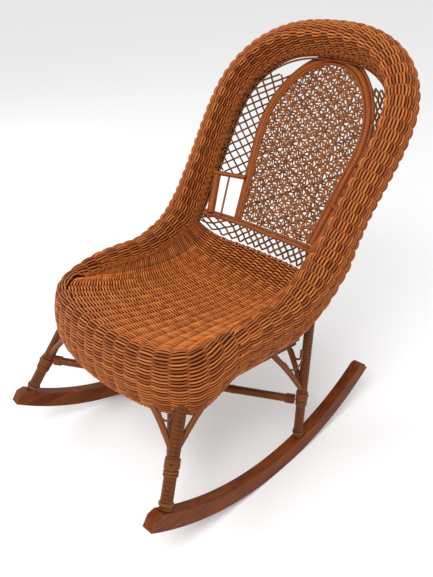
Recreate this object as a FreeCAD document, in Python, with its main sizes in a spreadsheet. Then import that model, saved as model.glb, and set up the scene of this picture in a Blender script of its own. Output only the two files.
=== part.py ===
"""Miniature wicker rocking chair: a doll-size armless rocker with a rolled, serpentine edge.

The chair frame has +X to the sitter's left, +Y to the rear and +Z up, with Y = 0 at the front feet and
Z = 0 where the rockers touch the floor. Every sub-part is made in that frame, and "settled" then leans
the whole chair back on its rockers to where it comes to rest and puts the origin under its middle.
"""
import FreeCAD, Part
import functools
import math
import os
import Sketcher
from FreeCAD import Placement, Rotation, Vector

DIMENSIONS = (
    # rockers
    ("rocker_radius", 268.75, "radius of the running edge"),
    ("rocker_centre", 124.0, "Y of the running edge's lowest point"),
    ("rocker_height", 15.6, "depth of the runner"),
    ("rocker_width", 10.8, "thickness of the runner"),
    ("rocker_front", -19.3, "Y of the front tip"),
    ("rocker_rear", 279.8, "Y of the rear tip"),
    ("rocker_toe", 3.43, "degrees that the runners close in towards the rear"),
    ("rocker_nose", 5.0, "slope cut on the front tip's upper corner"),
    ("rocker_heel", 9.0, "rounding of the rear tip's upper corner"),
    # legs
    ("front_foot_x", 108.5, "half spacing of the front feet"),
    ("rear_foot_y", 170.8, "Y of the rear feet"),
    ("rear_foot_x", 98.2, "half spacing of the rear feet"),
    ("front_leg_radius", 5.4, "wrapped front leg"),
    ("rear_leg_radius", 4.5, "wrapped rear leg"),
    ("dowel_radius", 2.0, "peg between leg and rocker"),
    ("dowel_half", 8.0, "length of the peg on each side of the joint"),
    # seat frame
    ("frame_bottom", 124.0, "Z of the seat frame's underside"),
    ("frame_depth", 22.0, "height of the seat frame"),
    ("frame_width", 14.0, "width of the bent seat frame"),
    ("frame_nose", 20.0, "extra width of the seat frame in front"),
    ("frame_half", 86.0, "half width of the seat frame's middle line"),
    ("frame_front", 22.0, "Y of the seat frame's middle line in front"),
    ("frame_corner", 42.0, "bend radius of the seat frame's front corners"),
    ("frame_rear", 166.0, "Y where the bent frame meets the rear rail"),
    ("rear_rail_width", 8.0, "width of the rear rail"),
    ("rear_rail_depth", 10.0, "height of the rear rail"),
    # side profile of seat and back
    ("seat_level", 166.0, "Z of the seat edge"),
    ("bend_start", 125.0, "Y where the seat edge starts to turn up"),
    ("bend_radius", 96.4, "radius of the turn from seat to back"),
    ("back_angle", 57.6, "slope of the back's rolled edge in degrees"),
    # back
    ("panel_y", 230.5, "Y of the back panel's foot"),
    ("panel_z", 189.4, "Z of the back panel's foot"),
    ("panel_angle", 62.3, "slope of the back panel in degrees"),
    ("arch_foot", 50.3, "half width of the inner arch at its foot"),
    ("shoulder_radius", 84.0, "radius of the inner arch's two shoulders"),
    ("shoulder_past", 20.0, "how far past the middle line a shoulder's centre lies"),
    ("crown_radius", 54.0, "radius of the inner arch's crown"),
    ("arch_rise", 101.6, "height of the shoulders' centres above the foot"),
    ("arch_rod", 4.2, "radius of the inner arch"),
    # reed work
    ("weave_thickness", 1.4, "thickness of the woven edge and seat"),
    ("cane_thickness", 1.0, "thickness of the cane panel and lattices"),
    ("core_radius", 2.8, "radius of the pole inside the rolled edge"),
    ("braid_radius", 2.4, "radius of the braid on the roll's inner edge"),
    ("border_radius", 1.6, "radius of the border rods"),
    ("stretcher_radius", 3.9, "wrapped diagonal stretcher"),
    ("brace_radius", 2.7, "split-cane brace"),
    ("curl_radius", 0.95, "thin reed of the small curls"),
    ("bar_radius", 2.5, "short bars and crossbar of the back"),
    ("post_radius", 4.2, "thick side post of the back"),
    ("spindle_radius", 1.1, "spindle in each slot of the back"),
    # resting attitude
    ("lean", 3.93, "degrees that the chair leans back at rest"),
    ("depth_middle", 146.06, "Y of the middle of the whole chair's depth"),
)

doc = FreeCAD.newDocument("rocking_chair")
sheet = doc.addObject("Spreadsheet::Sheet", "Dimensions")
for row, (alias, value, meaning) in enumerate(DIMENSIONS, start=1):
    sheet.set("A%d" % row, alias)
    sheet.set("B%d" % row, str(value))
    sheet.set("C%d" % row, meaning)
    sheet.setAlias("B%d" % row, alias)
doc.recompute()
DIM = {alias: float(sheet.get(alias)) for alias, _, _ in DIMENSIONS}

X_AXIS = Vector(1, 0, 0)
Y_AXIS = Vector(0, 1, 0)
Z_AXIS = Vector(0, 0, 1)
ROCKER_HUB = Vector(0, DIM["rocker_centre"], DIM["rocker_radius"])
SETTLED = Placement(Vector(0, -DIM["depth_middle"], 0), Rotation()).multiply(
    Placement(Vector(), Rotation(X_AXIS, -DIM["lean"]), ROCKER_HUB))
SIDES = (("left", 1), ("right", -1))
parts = {}


# ---------------------------------------------------------------- helpers

def bind(item, prop, expression):
    """Tie one property to the spreadsheet: words in the expression that are aliases become cells."""
    for alias in sorted(DIM, key=len, reverse=True):
        expression = expression.replace(alias, "<<%s>>" % alias)
    item.setExpression(prop, expression.replace("<<", "Dimensions.").replace(">>", ""))


def finish(item, name, local=None):
    """Register a finished sub-part under its node name and put it where the chair rests."""
    item.Label = name
    item.Placement = SETTLED.multiply(local or item.Placement)
    parts[name] = item
    return item


def mirrored(point, side):
    return Vector(point.x * side, point.y, point.z)


def along(start, end):
    """Placement that puts a primitive's base at start and turns its Z axis towards end."""
    return Placement(start, Rotation(Z_AXIS, end - start))


def rod(name, start, end, radius, trim_start=0.0, trim_end=0.0):
    """A straight round stick between two points, as a Part::Cylinder bound to its radius cell."""
    direction = (end - start).normalize()
    first = start + direction * trim_start
    last = end - direction * trim_end
    item = doc.addObject("Part::Cylinder", name)
    bind(item, "Radius", radius)
    item.Height = (last - first).Length
    item.Placement = along(first, last)
    return item


def cut(name, base, tool):
    item = doc.addObject("Part::Cut", name)
    item.Base = base
    item.Tool = tool
    return item


def common(name, base, tool):
    item = doc.addObject("Part::Common", name)
    item.Base = base
    item.Tool = tool
    return item


def group(name, items):
    item = doc.addObject("Part::Compound", name)
    item.Links = items
    return item


def feature(name, shape):
    item = doc.addObject("Part::Feature", name)
    item.Shape = shape
    return item


def rounded_wire(points, share=0.45):
    """Straight runs joined by tangent arcs, each arc as large as its two runs allow."""
    edges = []
    last = points[0]
    for before, corner, after in zip(points, points[1:], points[2:]):
        back = before - corner
        ahead = after - corner
        reach = share * min(back.Length, ahead.Length)
        turn = math.pi - back.getAngle(ahead)
        if turn < math.radians(0.2):
            continue
        first = corner + back.normalize() * reach
        third = corner + ahead.normalize() * reach
        radius = reach / math.tan(turn / 2)
        inward = (back + ahead).normalize()
        middle = corner + inward * (radius / math.cos(turn / 2) - radius)
        edges.append(Part.LineSegment(last, first).toShape())
        edges.append(Part.Arc(first, middle, third).toShape())
        last = third
    edges.append(Part.LineSegment(last, points[-1]).toShape())
    return Part.Wire(edges)


def tube(points, radius):
    """A bent round stick of the given radius along a rounded path."""
    path = rounded_wire(points)
    start = path.Edges[0].firstVertex().Point
    direction = path.Edges[0].tangentAt(path.Edges[0].FirstParameter)
    ring = Part.Wire([Part.Circle(start, direction, radius).toShape()])
    return path.makePipeShell([ring], True, False)


def strip_solid(stations):
    """A thin solid lofted through closed sections; each station is (outer points, inner points)."""
    wires = []
    for outer, inner in stations:
        upper = Part.BSplineCurve()
        upper.interpolate(outer)
        lower = Part.BSplineCurve()
        lower.interpolate(list(reversed(inner)))
        wires.append(Part.Wire([
            upper.toShape(),
            Part.LineSegment(outer[-1], inner[-1]).toShape(),
            lower.toShape(),
            Part.LineSegment(inner[0], outer[0]).toShape(),
        ]))
    return Part.makeLoft(wires, True, False)


def sheet_solid(rows):
    """A thin solid between two smooth surfaces; each row is (upper points, lower points)."""
    surfaces = []
    for layer in (0, 1):
        surface = Part.BSplineSurface()
        surface.interpolate([row[layer] for row in rows])
        surfaces.append(surface)

    def borders(surface):
        first_u, last_u, first_v, last_v = surface.bounds()
        lines = surface.uIso(first_u), surface.uIso(last_u), surface.vIso(first_v), surface.vIso(last_v)
        return [line.toShape() for line in lines]

    faces = [surface.toShape() for surface in surfaces]
    faces += [Part.makeRuledSurface(a, b) for a, b in zip(*map(borders, surfaces))]
    shell = Part.makeShell(faces)
    shell.sewShape()
    solid = Part.makeSolid(shell)
    if solid.Volume < 0:
        solid.reverse()
    return solid


def smooth_table(table, at):
    """Value between the rows of a (place, value) table, easing from each row to the next."""
    if at <= table[0][0]:
        return table[0][1]
    for (low, start), (high, end) in zip(table, table[1:]):
        if at <= high:
            share = (at - low) / (high - low)
            return start + (end - start) * share * share * (3 - 2 * share)
    return table[-1][1]


def spread(low, high, count):
    return [low + (high - low) * i / (count - 1) for i in range(count)]


# ---------------------------------------------------------------- the bent sheet that carries the weave

BACK_SLOPE = math.radians(DIM["back_angle"])
BEND_END = DIM["bend_start"] + DIM["bend_radius"] * BACK_SLOPE
ROLL_TOP = BEND_END + 183.0


def profile(run):
    """Side profile of the rolled edge: (y, z, slope) at a distance along seat, bend and back."""
    if run <= DIM["bend_start"]:
        return run, DIM["seat_level"], 0.0
    slope = min((run - DIM["bend_start"]) / DIM["bend_radius"], BACK_SLOPE)
    y = DIM["bend_start"] + DIM["bend_radius"] * math.sin(slope)
    z = DIM["seat_level"] + DIM["bend_radius"] * (1 - math.cos(slope))
    rest = max(run - BEND_END, 0.0)
    return y + rest * math.cos(slope), z + rest * math.sin(slope), slope


def sheet_frame(run):
    """The profile's own directions: along it, and out of it on the sitter's side."""
    slope = profile(run)[2]
    return Vector(0, math.cos(slope), math.sin(slope)), Vector(0, -math.sin(slope), math.cos(slope))


# middle line of the roll, flattened: half width against distance along the profile
OUTLINE = ((0, 19), (38, 22), (70, 30.5), (90, 47), (97.5, 72), (97, 125), (96, 180), (96, 235),
           (99.5, 285), (101.6, 320), (97.5, 352), (84, 376), (60, 394), (31, 403), (0, ROLL_TOP))
ROLL_RADIUS = ((72, 9.5), (125, 12.0), (165, 15.0), (215, 18.0))
ROLL_RAISE = ((30, -9.0), (95, 0.0))
INNER_ANGLE = ((30, 100.0), (78, 188.0))
ROLL_DEPTH = ((22, 42.0), (50, 47.5), (88, 33.0), (133, 32.0), (152, 34.5), (175, 33.0),
              (204, 28.5), (230, 22.0), (258, 17.5))
BORDER_OFFSET = ((24, 8.0), (60, 1.5), (110, 3.0), (165, 3.5), (204, 4.0), (255, -4.0))
BELLY = ((24, 5.0), (72, 3.0), (133, 1.0), (204, 0.0))
CURL_UNDER = ((200, 0.25), (255, 0.0))
# on the back the roll is flattened towards the sitter: how much, where on its circle and how far out
FLATTENED = ((150, 0.0), (240, 1.0))
FLAT_TOWARDS = math.radians(162.0)
FLAT_REACH = 9.5
FLAT_SHARPNESS = 10
BESIDE_SITTER = ((38, 0.0), (58, 1.0))

outline_points = [Vector(x, run, 0) for x, run in OUTLINE]
outline_points += [Vector(-x, run, 0) for x, run in reversed(OUTLINE[1:-1])]
outline = Part.BSplineCurve()
outline.interpolate(outline_points, PeriodicFlag=True)
outline_edge = outline.toShape()
OUTLINE_LENGTH = outline_edge.Length


class Station:
    """One cut across the roll, at a signed distance from the front middle along the outline."""

    def __init__(self, distance):
        parameter = outline_edge.getParameterByLength(distance % OUTLINE_LENGTH)
        flat = outline.value(parameter)
        course = Vector(*outline.tangent(parameter)[0])
        run = flat.y
        self.run = run
        ahead, out = sheet_frame(run)
        y, z, _ = profile(run)
        raise_by = smooth_table(ROLL_RAISE, run)
        self.centre = Vector(flat.x, y, z) + out * raise_by
        self.outward = X_AXIS * course.y - ahead * course.x
        self.up = out
        self.radius = smooth_table(ROLL_RADIUS, run)
        self.inner_angle = math.radians(smooth_table(INNER_ANGLE, run))
        self.depth = smooth_table(ROLL_DEPTH, run)
        self.border = smooth_table(BORDER_OFFSET, run)
        self.belly = smooth_table(BELLY, run)
        self.under = smooth_table(CURL_UNDER, run)
        self.flattened = smooth_table(FLATTENED, run)

    def reach(self, angle, inset=0.0):
        """Distance from the roll's middle line to its skin: a circle with one flattened side."""
        radius = self.radius - inset
        facing = max(math.cos(angle - FLAT_TOWARDS), 0.0)
        pressed = self.flattened * facing * radius / (FLAT_REACH - inset)
        return radius / (1 + pressed ** FLAT_SHARPNESS) ** (1 / FLAT_SHARPNESS)

    def flat_section(self, share, inset=0.0):
        """Point of the section: 0 at the inner edge, 0.5 at the outermost point, 1 at the border."""
        radius = self.radius - inset
        if share <= 0.5:
            angle = self.inner_angle * (1 - 2 * share)
            reach = self.reach(angle, inset)
            return reach * math.cos(angle), reach * math.sin(angle)
        t = 2 * share - 1
        border = self.border - inset * (1 - self.under * 0.5)
        fall = self.depth - (inset if self.under < 0.2 else 0.0)
        ends = (radius, 0.0), (border, -fall)
        first = (radius + self.belly, -0.5 * fall)
        second = (border + 0.5 * (radius - border) + self.belly * 0.6, -fall * (1 - self.under))
        weights = (1 - t) ** 3, 3 * t * (1 - t) ** 2, 3 * t * t * (1 - t), t ** 3
        corners = (ends[0], first, second, ends[1])
        return tuple(sum(w * c[i] for w, c in zip(weights, corners)) for i in (0, 1))

    def point(self, share, inset=0.0):
        across, height = self.flat_section(share, inset)
        return self.centre + self.outward * across + self.up * height

    def past_inner_edge(self, distance):
        """Point on the roll's circle, the given distance beyond the woven skin's inner edge."""
        angle = self.inner_angle + distance / self.reach(self.inner_angle)
        middle = self.reach(angle, DIM["weave_thickness"] / 2)
        return self.centre + self.outward * (middle * math.cos(angle)) + self.up * (middle * math.sin(angle))

    def seat_rim(self):
        """Where the seat starts: against the skin in front, against the braid beside the sitter."""
        beside = smooth_table(BESIDE_SITTER, self.run)
        by_skin = self.past_inner_edge(1.0)
        by_braid = self.past_inner_edge(DIM["braid_radius"] + 0.15) - self.outward * (DIM["braid_radius"] + 0.3)
        return by_skin + (by_braid - by_skin) * beside

    def past_border(self, distance):
        """Point the given distance beyond the woven skin's lower or rear border."""
        inset = DIM["weave_thickness"] / 2
        end = self.point(1.0, inset)
        return end + (end - self.point(0.97, inset)).normalize() * distance


@functools.lru_cache(maxsize=None)
def distance_at_run(target, side):
    """Signed distance along the outline to the place beside the sitter where it reaches a run."""
    low, high = 60.0, OUTLINE_LENGTH / 2 - 1
    for _ in range(40):
        middle = (low + high) / 2
        if Station(middle).run < target:
            low = middle
        else:
            high = middle
    return side * low


# ---------------------------------------------------------------- rockers, legs and seat frame

FRONT_LEG_TOP = Vector(86.6, 37.5, DIM["frame_bottom"])
REAR_LEG_TOP = Vector(95.6, 181.5, 170.0)


def rocker_top(y):
    """Height of the rocker's upper face at Y."""
    inner = DIM["rocker_radius"] - DIM["rocker_height"]
    return DIM["rocker_radius"] - math.sqrt(inner ** 2 - (y - DIM["rocker_centre"]) ** 2)


FRONT_FOOT = Vector(DIM["front_foot_x"], 0, rocker_top(0))
REAR_FOOT = Vector(DIM["rear_foot_x"], DIM["rear_foot_y"], rocker_top(DIM["rear_foot_y"]))


def rocker_place(side):
    """The runner's own plane, turned by the toe-in about its front foot."""
    return Placement(Vector(side * DIM["front_foot_x"], 0, 0), Rotation(Z_AXIS, side * DIM["rocker_toe"]))


def rocker_blank(side_name):
    body = doc.addObject("PartDesign::Body", "runner_" + side_name)
    plane = next(f for f in body.Origin.OriginFeatures if f.Role == "YZ_Plane")
    sketch = body.newObject("Sketcher::SketchObject", "runner_outline_" + side_name)
    sketch.AttachmentSupport = (plane, [""])
    sketch.MapMode = "FlatFace"
    hub = Vector(DIM["rocker_centre"], DIM["rocker_radius"], 0)
    outer = DIM["rocker_radius"]
    inner = outer - DIM["rocker_height"]
    start = -math.pi / 2 + math.asin((DIM["rocker_front"] - DIM["rocker_centre"]) / outer)
    end = -math.pi / 2 + math.asin((DIM["rocker_rear"] - DIM["rocker_centre"]) / outer)
    rest = -math.pi / 2 + math.radians(DIM["lean"])
    at = lambda radius, angle: hub + Vector(radius * math.cos(angle), radius * math.sin(angle), 0)
    # the running edge is two arcs of one circle that meet where the chair rests
    running = sketch.addGeometry(Part.ArcOfCircle(Part.Circle(hub, Z_AXIS, outer), start, rest))
    running_on = sketch.addGeometry(Part.ArcOfCircle(Part.Circle(hub, Z_AXIS, outer), rest, end))
    heel = sketch.addGeometry(Part.LineSegment(at(outer, end), at(inner, end)))
    upper = sketch.addGeometry(Part.ArcOfCircle(Part.Circle(hub, Z_AXIS, inner), start, end))
    nose = sketch.addGeometry(Part.LineSegment(at(inner, start), at(outer, start)))
    for first, first_end, second, second_end in (
            (running, 2, running_on, 1), (running_on, 2, heel, 1), (heel, 2, upper, 2),
            (upper, 1, nose, 1), (nose, 2, running, 1), (running, 3, running_on, 3), (running, 3, upper, 3)):
        sketch.addConstraint(Sketcher.Constraint("Coincident", first, first_end, second, second_end))
    size = sketch.addConstraint(Sketcher.Constraint("Radius", running, outer))
    sketch.renameConstraint(size, "running_edge")
    bind(sketch, "Constraints.running_edge", "rocker_radius")
    pad = body.newObject("PartDesign::Pad", "runner_pad_" + side_name)
    pad.Profile = sketch
    bind(pad, "Length", "rocker_width")
    pad.Midplane = True
    pad.Refine = False
    doc.recompute()
    corner = {"nose": at(inner, start), "heel": at(inner, end)}

    def edge_at(feature_, spot):
        for number, edge in enumerate(feature_.Shape.Edges, start=1):
            middle = edge.CenterOfMass
            if abs(middle.y - spot.x) < 0.5 and abs(middle.z - spot.y) < 0.5 and abs(middle.x) < 0.5:
                return "Edge%d" % number
        raise RuntimeError("rocker edge not found")

    chamfer = body.newObject("PartDesign::Chamfer", "runner_nose_" + side_name)
    chamfer.Base = (pad, [edge_at(pad, corner["nose"])])
    bind(chamfer, "Size", "rocker_nose")
    chamfer.Refine = False
    doc.recompute()
    fillet = body.newObject("PartDesign::Fillet", "runner_heel_" + side_name)
    fillet.Base = (chamfer, [edge_at(chamfer, corner["heel"])])
    bind(fillet, "Radius", "rocker_heel")
    fillet.Refine = False
    doc.recompute()
    return body


def leg_room(side_name, side):
    """All the room above one rocker's upper face: trims a leg's foot to sit on it."""
    room = doc.addObject("Part::Cylinder", "room_above_rocker_" + side_name)
    bind(room, "Radius", "rocker_radius - rocker_height")
    half_width = 60
    room.Height = 2 * half_width
    hub = Placement(Vector(-half_width, DIM["rocker_centre"], DIM["rocker_radius"]), Rotation(Z_AXIS, X_AXIS))
    room.Placement = rocker_place(side).multiply(hub)
    return room


def under_frame(side_name):
    """All the room under the seat frame: trims a front leg's top to meet it."""
    box = doc.addObject("Part::Box", "room_under_frame_" + side_name)
    box.Length = box.Width = 400
    bind(box, "Height", "frame_bottom")
    box.Placement = Placement(Vector(-200, -100, 0), Rotation())
    return box


dowels = []
leg_cores = {}
for side_name, side in SIDES:
    runner = rocker_blank(side_name)
    runner.Placement = rocker_place(side)
    room = leg_room(side_name, side)
    pegs = []
    for end_name, foot, top in (("front", FRONT_FOOT, FRONT_LEG_TOP), ("rear", REAR_FOOT, REAR_LEG_TOP)):
        leg_name = "leg_%s_%s" % (end_name, side_name)
        foot = mirrored(foot, side)
        top = mirrored(top, side)
        slope = (top - foot).normalize()
        overrun = 12.0 if end_name == "front" else 0.0
        pole = rod(leg_name + "_pole", foot - slope * 12, top + slope * overrun, end_name + "_leg_radius")
        peg = rod(leg_name + "_peg", foot - slope * DIM["dowel_half"], foot + slope * DIM["dowel_half"],
                  "dowel_radius")
        pegs.append(peg)
        leg_cores[end_name, side_name] = (foot, top, pole)
        leg = common(leg_name + "_on_rocker", pole, room)
        if end_name == "front":
            leg = common(leg_name + "_under_frame", leg, under_frame(leg_name))
        finish(cut(leg_name, leg, peg), leg_name)
    dowels += pegs
    first_bore = cut("runner_front_bore_" + side_name, runner, pegs[0])
    finish(cut("rocker_" + side_name, first_bore, pegs[1]), "rocker_" + side_name)
finish(group("leg_dowels", dowels), "leg_dowels")


def seat_frame():
    """Bent U of the seat frame, padded up from its plan."""
    body = doc.addObject("PartDesign::Body", "seat_bow")
    plane = next(f for f in body.Origin.OriginFeatures if f.Role == "XY_Plane")
    sketch = body.newObject("Sketcher::SketchObject", "seat_bow_plan")
    sketch.AttachmentSupport = (plane, [""])
    sketch.MapMode = "FlatFace"
    half, front, rear = DIM["frame_half"], DIM["frame_front"], DIM["frame_rear"]
    bend = DIM["frame_corner"]
    offset = DIM["frame_width"] / 2

    def outline_of_u(grow, nose):
        radius = bend + grow
        bend_y = front + bend + nose
        hubs = Vector(half - bend, bend_y, 0), Vector(bend - half, bend_y, 0)
        front_y = bend_y - radius
        return (
            Part.LineSegment(Vector(half + grow, rear, 0), Vector(half + grow, bend_y, 0)),
            Part.ArcOfCircle(Part.Circle(hubs[0], Z_AXIS, radius), -math.pi / 2, 0),
            Part.LineSegment(Vector(half - bend, front_y, 0), Vector(bend - half, front_y, 0)),
            Part.ArcOfCircle(Part.Circle(hubs[1], Z_AXIS, radius), math.pi, 1.5 * math.pi),
            Part.LineSegment(Vector(-half - grow, bend_y, 0), Vector(-half - grow, rear, 0)),
        )

    for grow, nose in ((offset, 0.0), (-offset, DIM["frame_nose"])):
        for piece in outline_of_u(grow, nose):
            sketch.addGeometry(piece)
    for side in (1, -1):
        sketch.addGeometry(Part.LineSegment(Vector(side * (half - offset), rear, 0),
                                            Vector(side * (half + offset), rear, 0)))
    pad = body.newObject("PartDesign::Pad", "seat_bow_pad")
    pad.Profile = sketch
    bind(pad, "Length", "frame_depth")
    doc.recompute()
    return body


finish(seat_frame(), "seat_frame_bow", Placement(Vector(0, 0, DIM["frame_bottom"]), Rotation()))
rear_rail = doc.addObject("Part::Box", "rear_rail")
rail_half = 90.0
rear_rail.Length = 2 * rail_half
bind(rear_rail, "Width", "rear_rail_width")
bind(rear_rail, "Height", "rear_rail_depth")
finish(rear_rail, "seat_rail_rear", Placement(Vector(-rail_half, DIM["frame_rear"], DIM["frame_bottom"]),
                                              Rotation()))

# ---------------------------------------------------------------- pole inside the roll, and its posts

CORE_FRONT_RUN = 66.0


def core_point(distance):
    """Middle line of the pole inside the roll."""
    station = Station(distance)
    return station.centre


core_start = distance_at_run(CORE_FRONT_RUN, 1)
core_stops = spread(core_start, OUTLINE_LENGTH - core_start, 40)
finish(feature("roll_core", tube([core_point(d) for d in core_stops], DIM["core_radius"])), "roll_core_hoop")
front_gap = 3.0
front_stops = spread(-core_start + front_gap, core_start - front_gap, 15)
finish(feature("front_core", tube([core_point(d) for d in front_stops], DIM["core_radius"])),
       "front_edge_pole")


def post(name, distance, lower):
    """A short upright between the seat frame and the pole inside the roll."""
    upper = core_point(distance)
    base = Vector(lower.x, lower.y, DIM["frame_bottom"] + DIM["frame_depth"])
    return rod(name, base, upper, "bar_radius", 0.0, DIM["core_radius"] + 0.1)


for side_name, side in SIDES:
    posts = []
    for number, y in enumerate((80.0, 112.0, 150.0)):
        foot_of_post = Vector(side * DIM["frame_half"], y, 0)
        posts.append(post("side_post_%s_%d" % (side_name, number), distance_at_run(y, side), foot_of_post))
    finish(group("roll_posts_" + side_name, posts), "roll_posts_" + side_name)
front_posts = []
for number, reach in enumerate((-46.0, 0.0, 46.0)):
    front_posts.append(post("front_post_%d" % number, reach, Vector(reach, DIM["frame_front"], 0)))
finish(group("front_posts", front_posts), "front_edge_posts")

# ---------------------------------------------------------------- woven skins

SKIN_SHARES = spread(0.0, 1.0, 13)


def woven_skin(name, first, last, count):
    """A stretch of the woven edge, from its inner braid over the roll to its border."""
    stations = []
    for distance in spread(first, last, count):
        station = Station(distance)
        outer = [station.point(share) for share in SKIN_SHARES]
        inner = [station.point(share, DIM["weave_thickness"]) for share in SKIN_SHARES]
        stations.append((outer, inner))
    return finish(feature(name, strip_solid(stations)), name)


corner_run, hip_run, shoulder_run = 74.0, 200.0, 340.0
corner_at = distance_at_run(corner_run, 1)
hip_at = distance_at_run(hip_run, 1)
shoulder_at = distance_at_run(shoulder_run, 1)
woven_skin("apron_front", -corner_at, corner_at, 17)
for side_name, side in SIDES:
    woven_skin("roll_side_" + side_name, side * corner_at, side * hip_at, 9)
    woven_skin("roll_back_" + side_name, side * hip_at, side * shoulder_at, 8)
woven_skin("roll_top", shoulder_at, OUTLINE_LENGTH - shoulder_at, 15)

for side_name, side in SIDES:
    braid_stops = spread(side * distance_at_run(58.0, 1), side * (OUTLINE_LENGTH / 2 - 1.2), 30)
    line = [Station(d).past_inner_edge(DIM["braid_radius"] + 0.15) for d in braid_stops]
    finish(feature("braid_" + side_name, tube(line, DIM["braid_radius"])), "inner_braid_" + side_name)

border_stops = spread(-hip_at, hip_at, 34)
border_line = [Station(d).past_border(DIM["border_radius"] + 0.1) for d in border_stops]
finish(feature("border_front", tube(border_line, DIM["border_radius"])), "apron_border_rod")
rear_stops = spread(hip_at + 2, OUTLINE_LENGTH - hip_at - 2, 30)
rear_line = [Station(d).past_border(DIM["border_radius"] + 0.1) for d in rear_stops]
finish(feature("border_rear", tube(rear_line, DIM["border_radius"])), "rear_border_rod")

# seat: side-to-side rows hung inside the roll, from the front edge to the rear edge bowed to the back
SEAT_SIDE_RUNS = 72.0, 200.0
SEAT_MIDDLE_Z = ((0.0, 166.0), (0.25, 156.0), (0.55, 149.5), (0.8, 150.0), (0.92, 158.0), (1.0, 172.0))
SEAT_REAR_Y = 219.8
FRONT_FADE = 4
seat_front_at = distance_at_run(SEAT_SIDE_RUNS[0], 1)


def eased(table, at):
    """Straight-line table with its corners rounded by averaging around the place asked for."""
    half = 0.06
    picks = [min(max(at + half * k / 2, table[0][0]), table[-1][0]) for k in (-2, -1, 0, 1, 2)]
    total = 0.0
    for pick in picks:
        for (low, start), (high, end) in zip(table, table[1:]):
            if pick <= high:
                total += start + (end - start) * (pick - low) / (high - low)
                break
    return total / len(picks)


@functools.lru_cache(maxsize=None)
def rim_at(distance):
    return Station(distance).seat_rim()


def seat_bowl(across, back):
    """The seat without its front edge: walls at the sides, a dip in the middle."""
    low, high = SEAT_SIDE_RUNS
    side = rim_at(distance_at_run(low + (high - low) * back, 1))
    front_y = rim_at(0.0).y
    middle_y = front_y + (SEAT_REAR_Y - front_y) * back
    middle_z = eased(SEAT_MIDDLE_Z, back)
    bow = abs(across) ** 3.4
    wall = abs(across) ** (5 + back)
    return Vector(across * side.x, middle_y + (side.y - middle_y) * bow, middle_z + (side.z - middle_z) * wall)


def seat_point(across, back):
    """Seat surface: across -1 to 1 from side to side, back 0 to 1 from front to rear."""
    across = min(max(across, -1.0), 1.0)
    back = min(max(back, 0.0), 1.0)
    front_gap = rim_at(across * seat_front_at) - seat_bowl(across, 0.0)
    return seat_bowl(across, back) + front_gap * (1 - back) ** FRONT_FADE


ACROSS_STOPS = (-1, -0.97, -0.92, -0.84, -0.7, -0.5, -0.25, 0, 0.25, 0.5, 0.7, 0.84, 0.92, 0.97, 1)


def seat_normal(across, back):
    """Direction out of the seat surface, upwards."""
    step = 0.01
    sideways = seat_point(across + step, back) - seat_point(across - step, back)
    rearwards = seat_point(across, back + step) - seat_point(across, back - step)
    return sideways.cross(rearwards).normalize()


def seat_section(back):
    upper = [seat_point(a, back) for a in ACROSS_STOPS]
    lower = [p - seat_normal(a, back) * DIM["weave_thickness"] for a, p in zip(ACROSS_STOPS, upper)]
    return upper, lower


finish(feature("seat", sheet_solid([seat_section(b) for b in spread(0.0, 1.0, 11)])), "seat_weave")

# ---------------------------------------------------------------- back: arch, cane panel, lattices and bars

PANEL_SLOPE = DIM["panel_angle"]
panel_place = Placement(Vector(0, DIM["panel_y"], DIM["panel_z"]), Rotation(X_AXIS, PANEL_SLOPE))
PANEL_UP = Vector(0, math.cos(math.radians(PANEL_SLOPE)), math.sin(math.radians(PANEL_SLOPE)))


def arch_outline(grow):
    """The arch in the panel's own plane: side line, shoulder, crown, shoulder and side line."""
    past, rise = DIM["shoulder_past"], DIM["arch_rise"]
    shoulder, crown = DIM["shoulder_radius"], DIM["crown_radius"]
    reach = math.hypot(DIM["arch_foot"] + past, rise)
    splay = math.atan2(rise, DIM["arch_foot"] + past) - math.acos(shoulder / reach)
    meet = math.acos(past / (shoulder - crown))
    left_hub, right_hub = Vector(-past, rise, 0), Vector(past, rise, 0)
    top_hub = Vector(0, rise + (shoulder - crown) * math.sin(meet), 0)
    touch = left_hub + Vector(math.cos(splay), -math.sin(splay), 0) * (shoulder + grow)
    foot_x = touch.x - touch.y * math.tan(splay)
    return (
        Part.LineSegment(Vector(foot_x, 0, 0), touch),
        Part.ArcOfCircle(Part.Circle(left_hub, Z_AXIS, shoulder + grow), -splay, meet),
        Part.ArcOfCircle(Part.Circle(top_hub, Z_AXIS, crown + grow), meet, math.pi - meet),
        Part.ArcOfCircle(Part.Circle(right_hub, Z_AXIS, shoulder + grow), math.pi - meet, math.pi + splay),
        Part.LineSegment(Vector(-touch.x, touch.y, 0), Vector(-foot_x, 0, 0)),
    )


def panel_sketch(body, name, geometry):
    plane = next(f for f in body.Origin.OriginFeatures if f.Role == "XY_Plane")
    sketch = body.newObject("Sketcher::SketchObject", name)
    sketch.AttachmentSupport = (plane, [""])
    sketch.MapMode = "FlatFace"
    for piece in geometry:
        sketch.addGeometry(piece)
    return sketch


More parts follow.
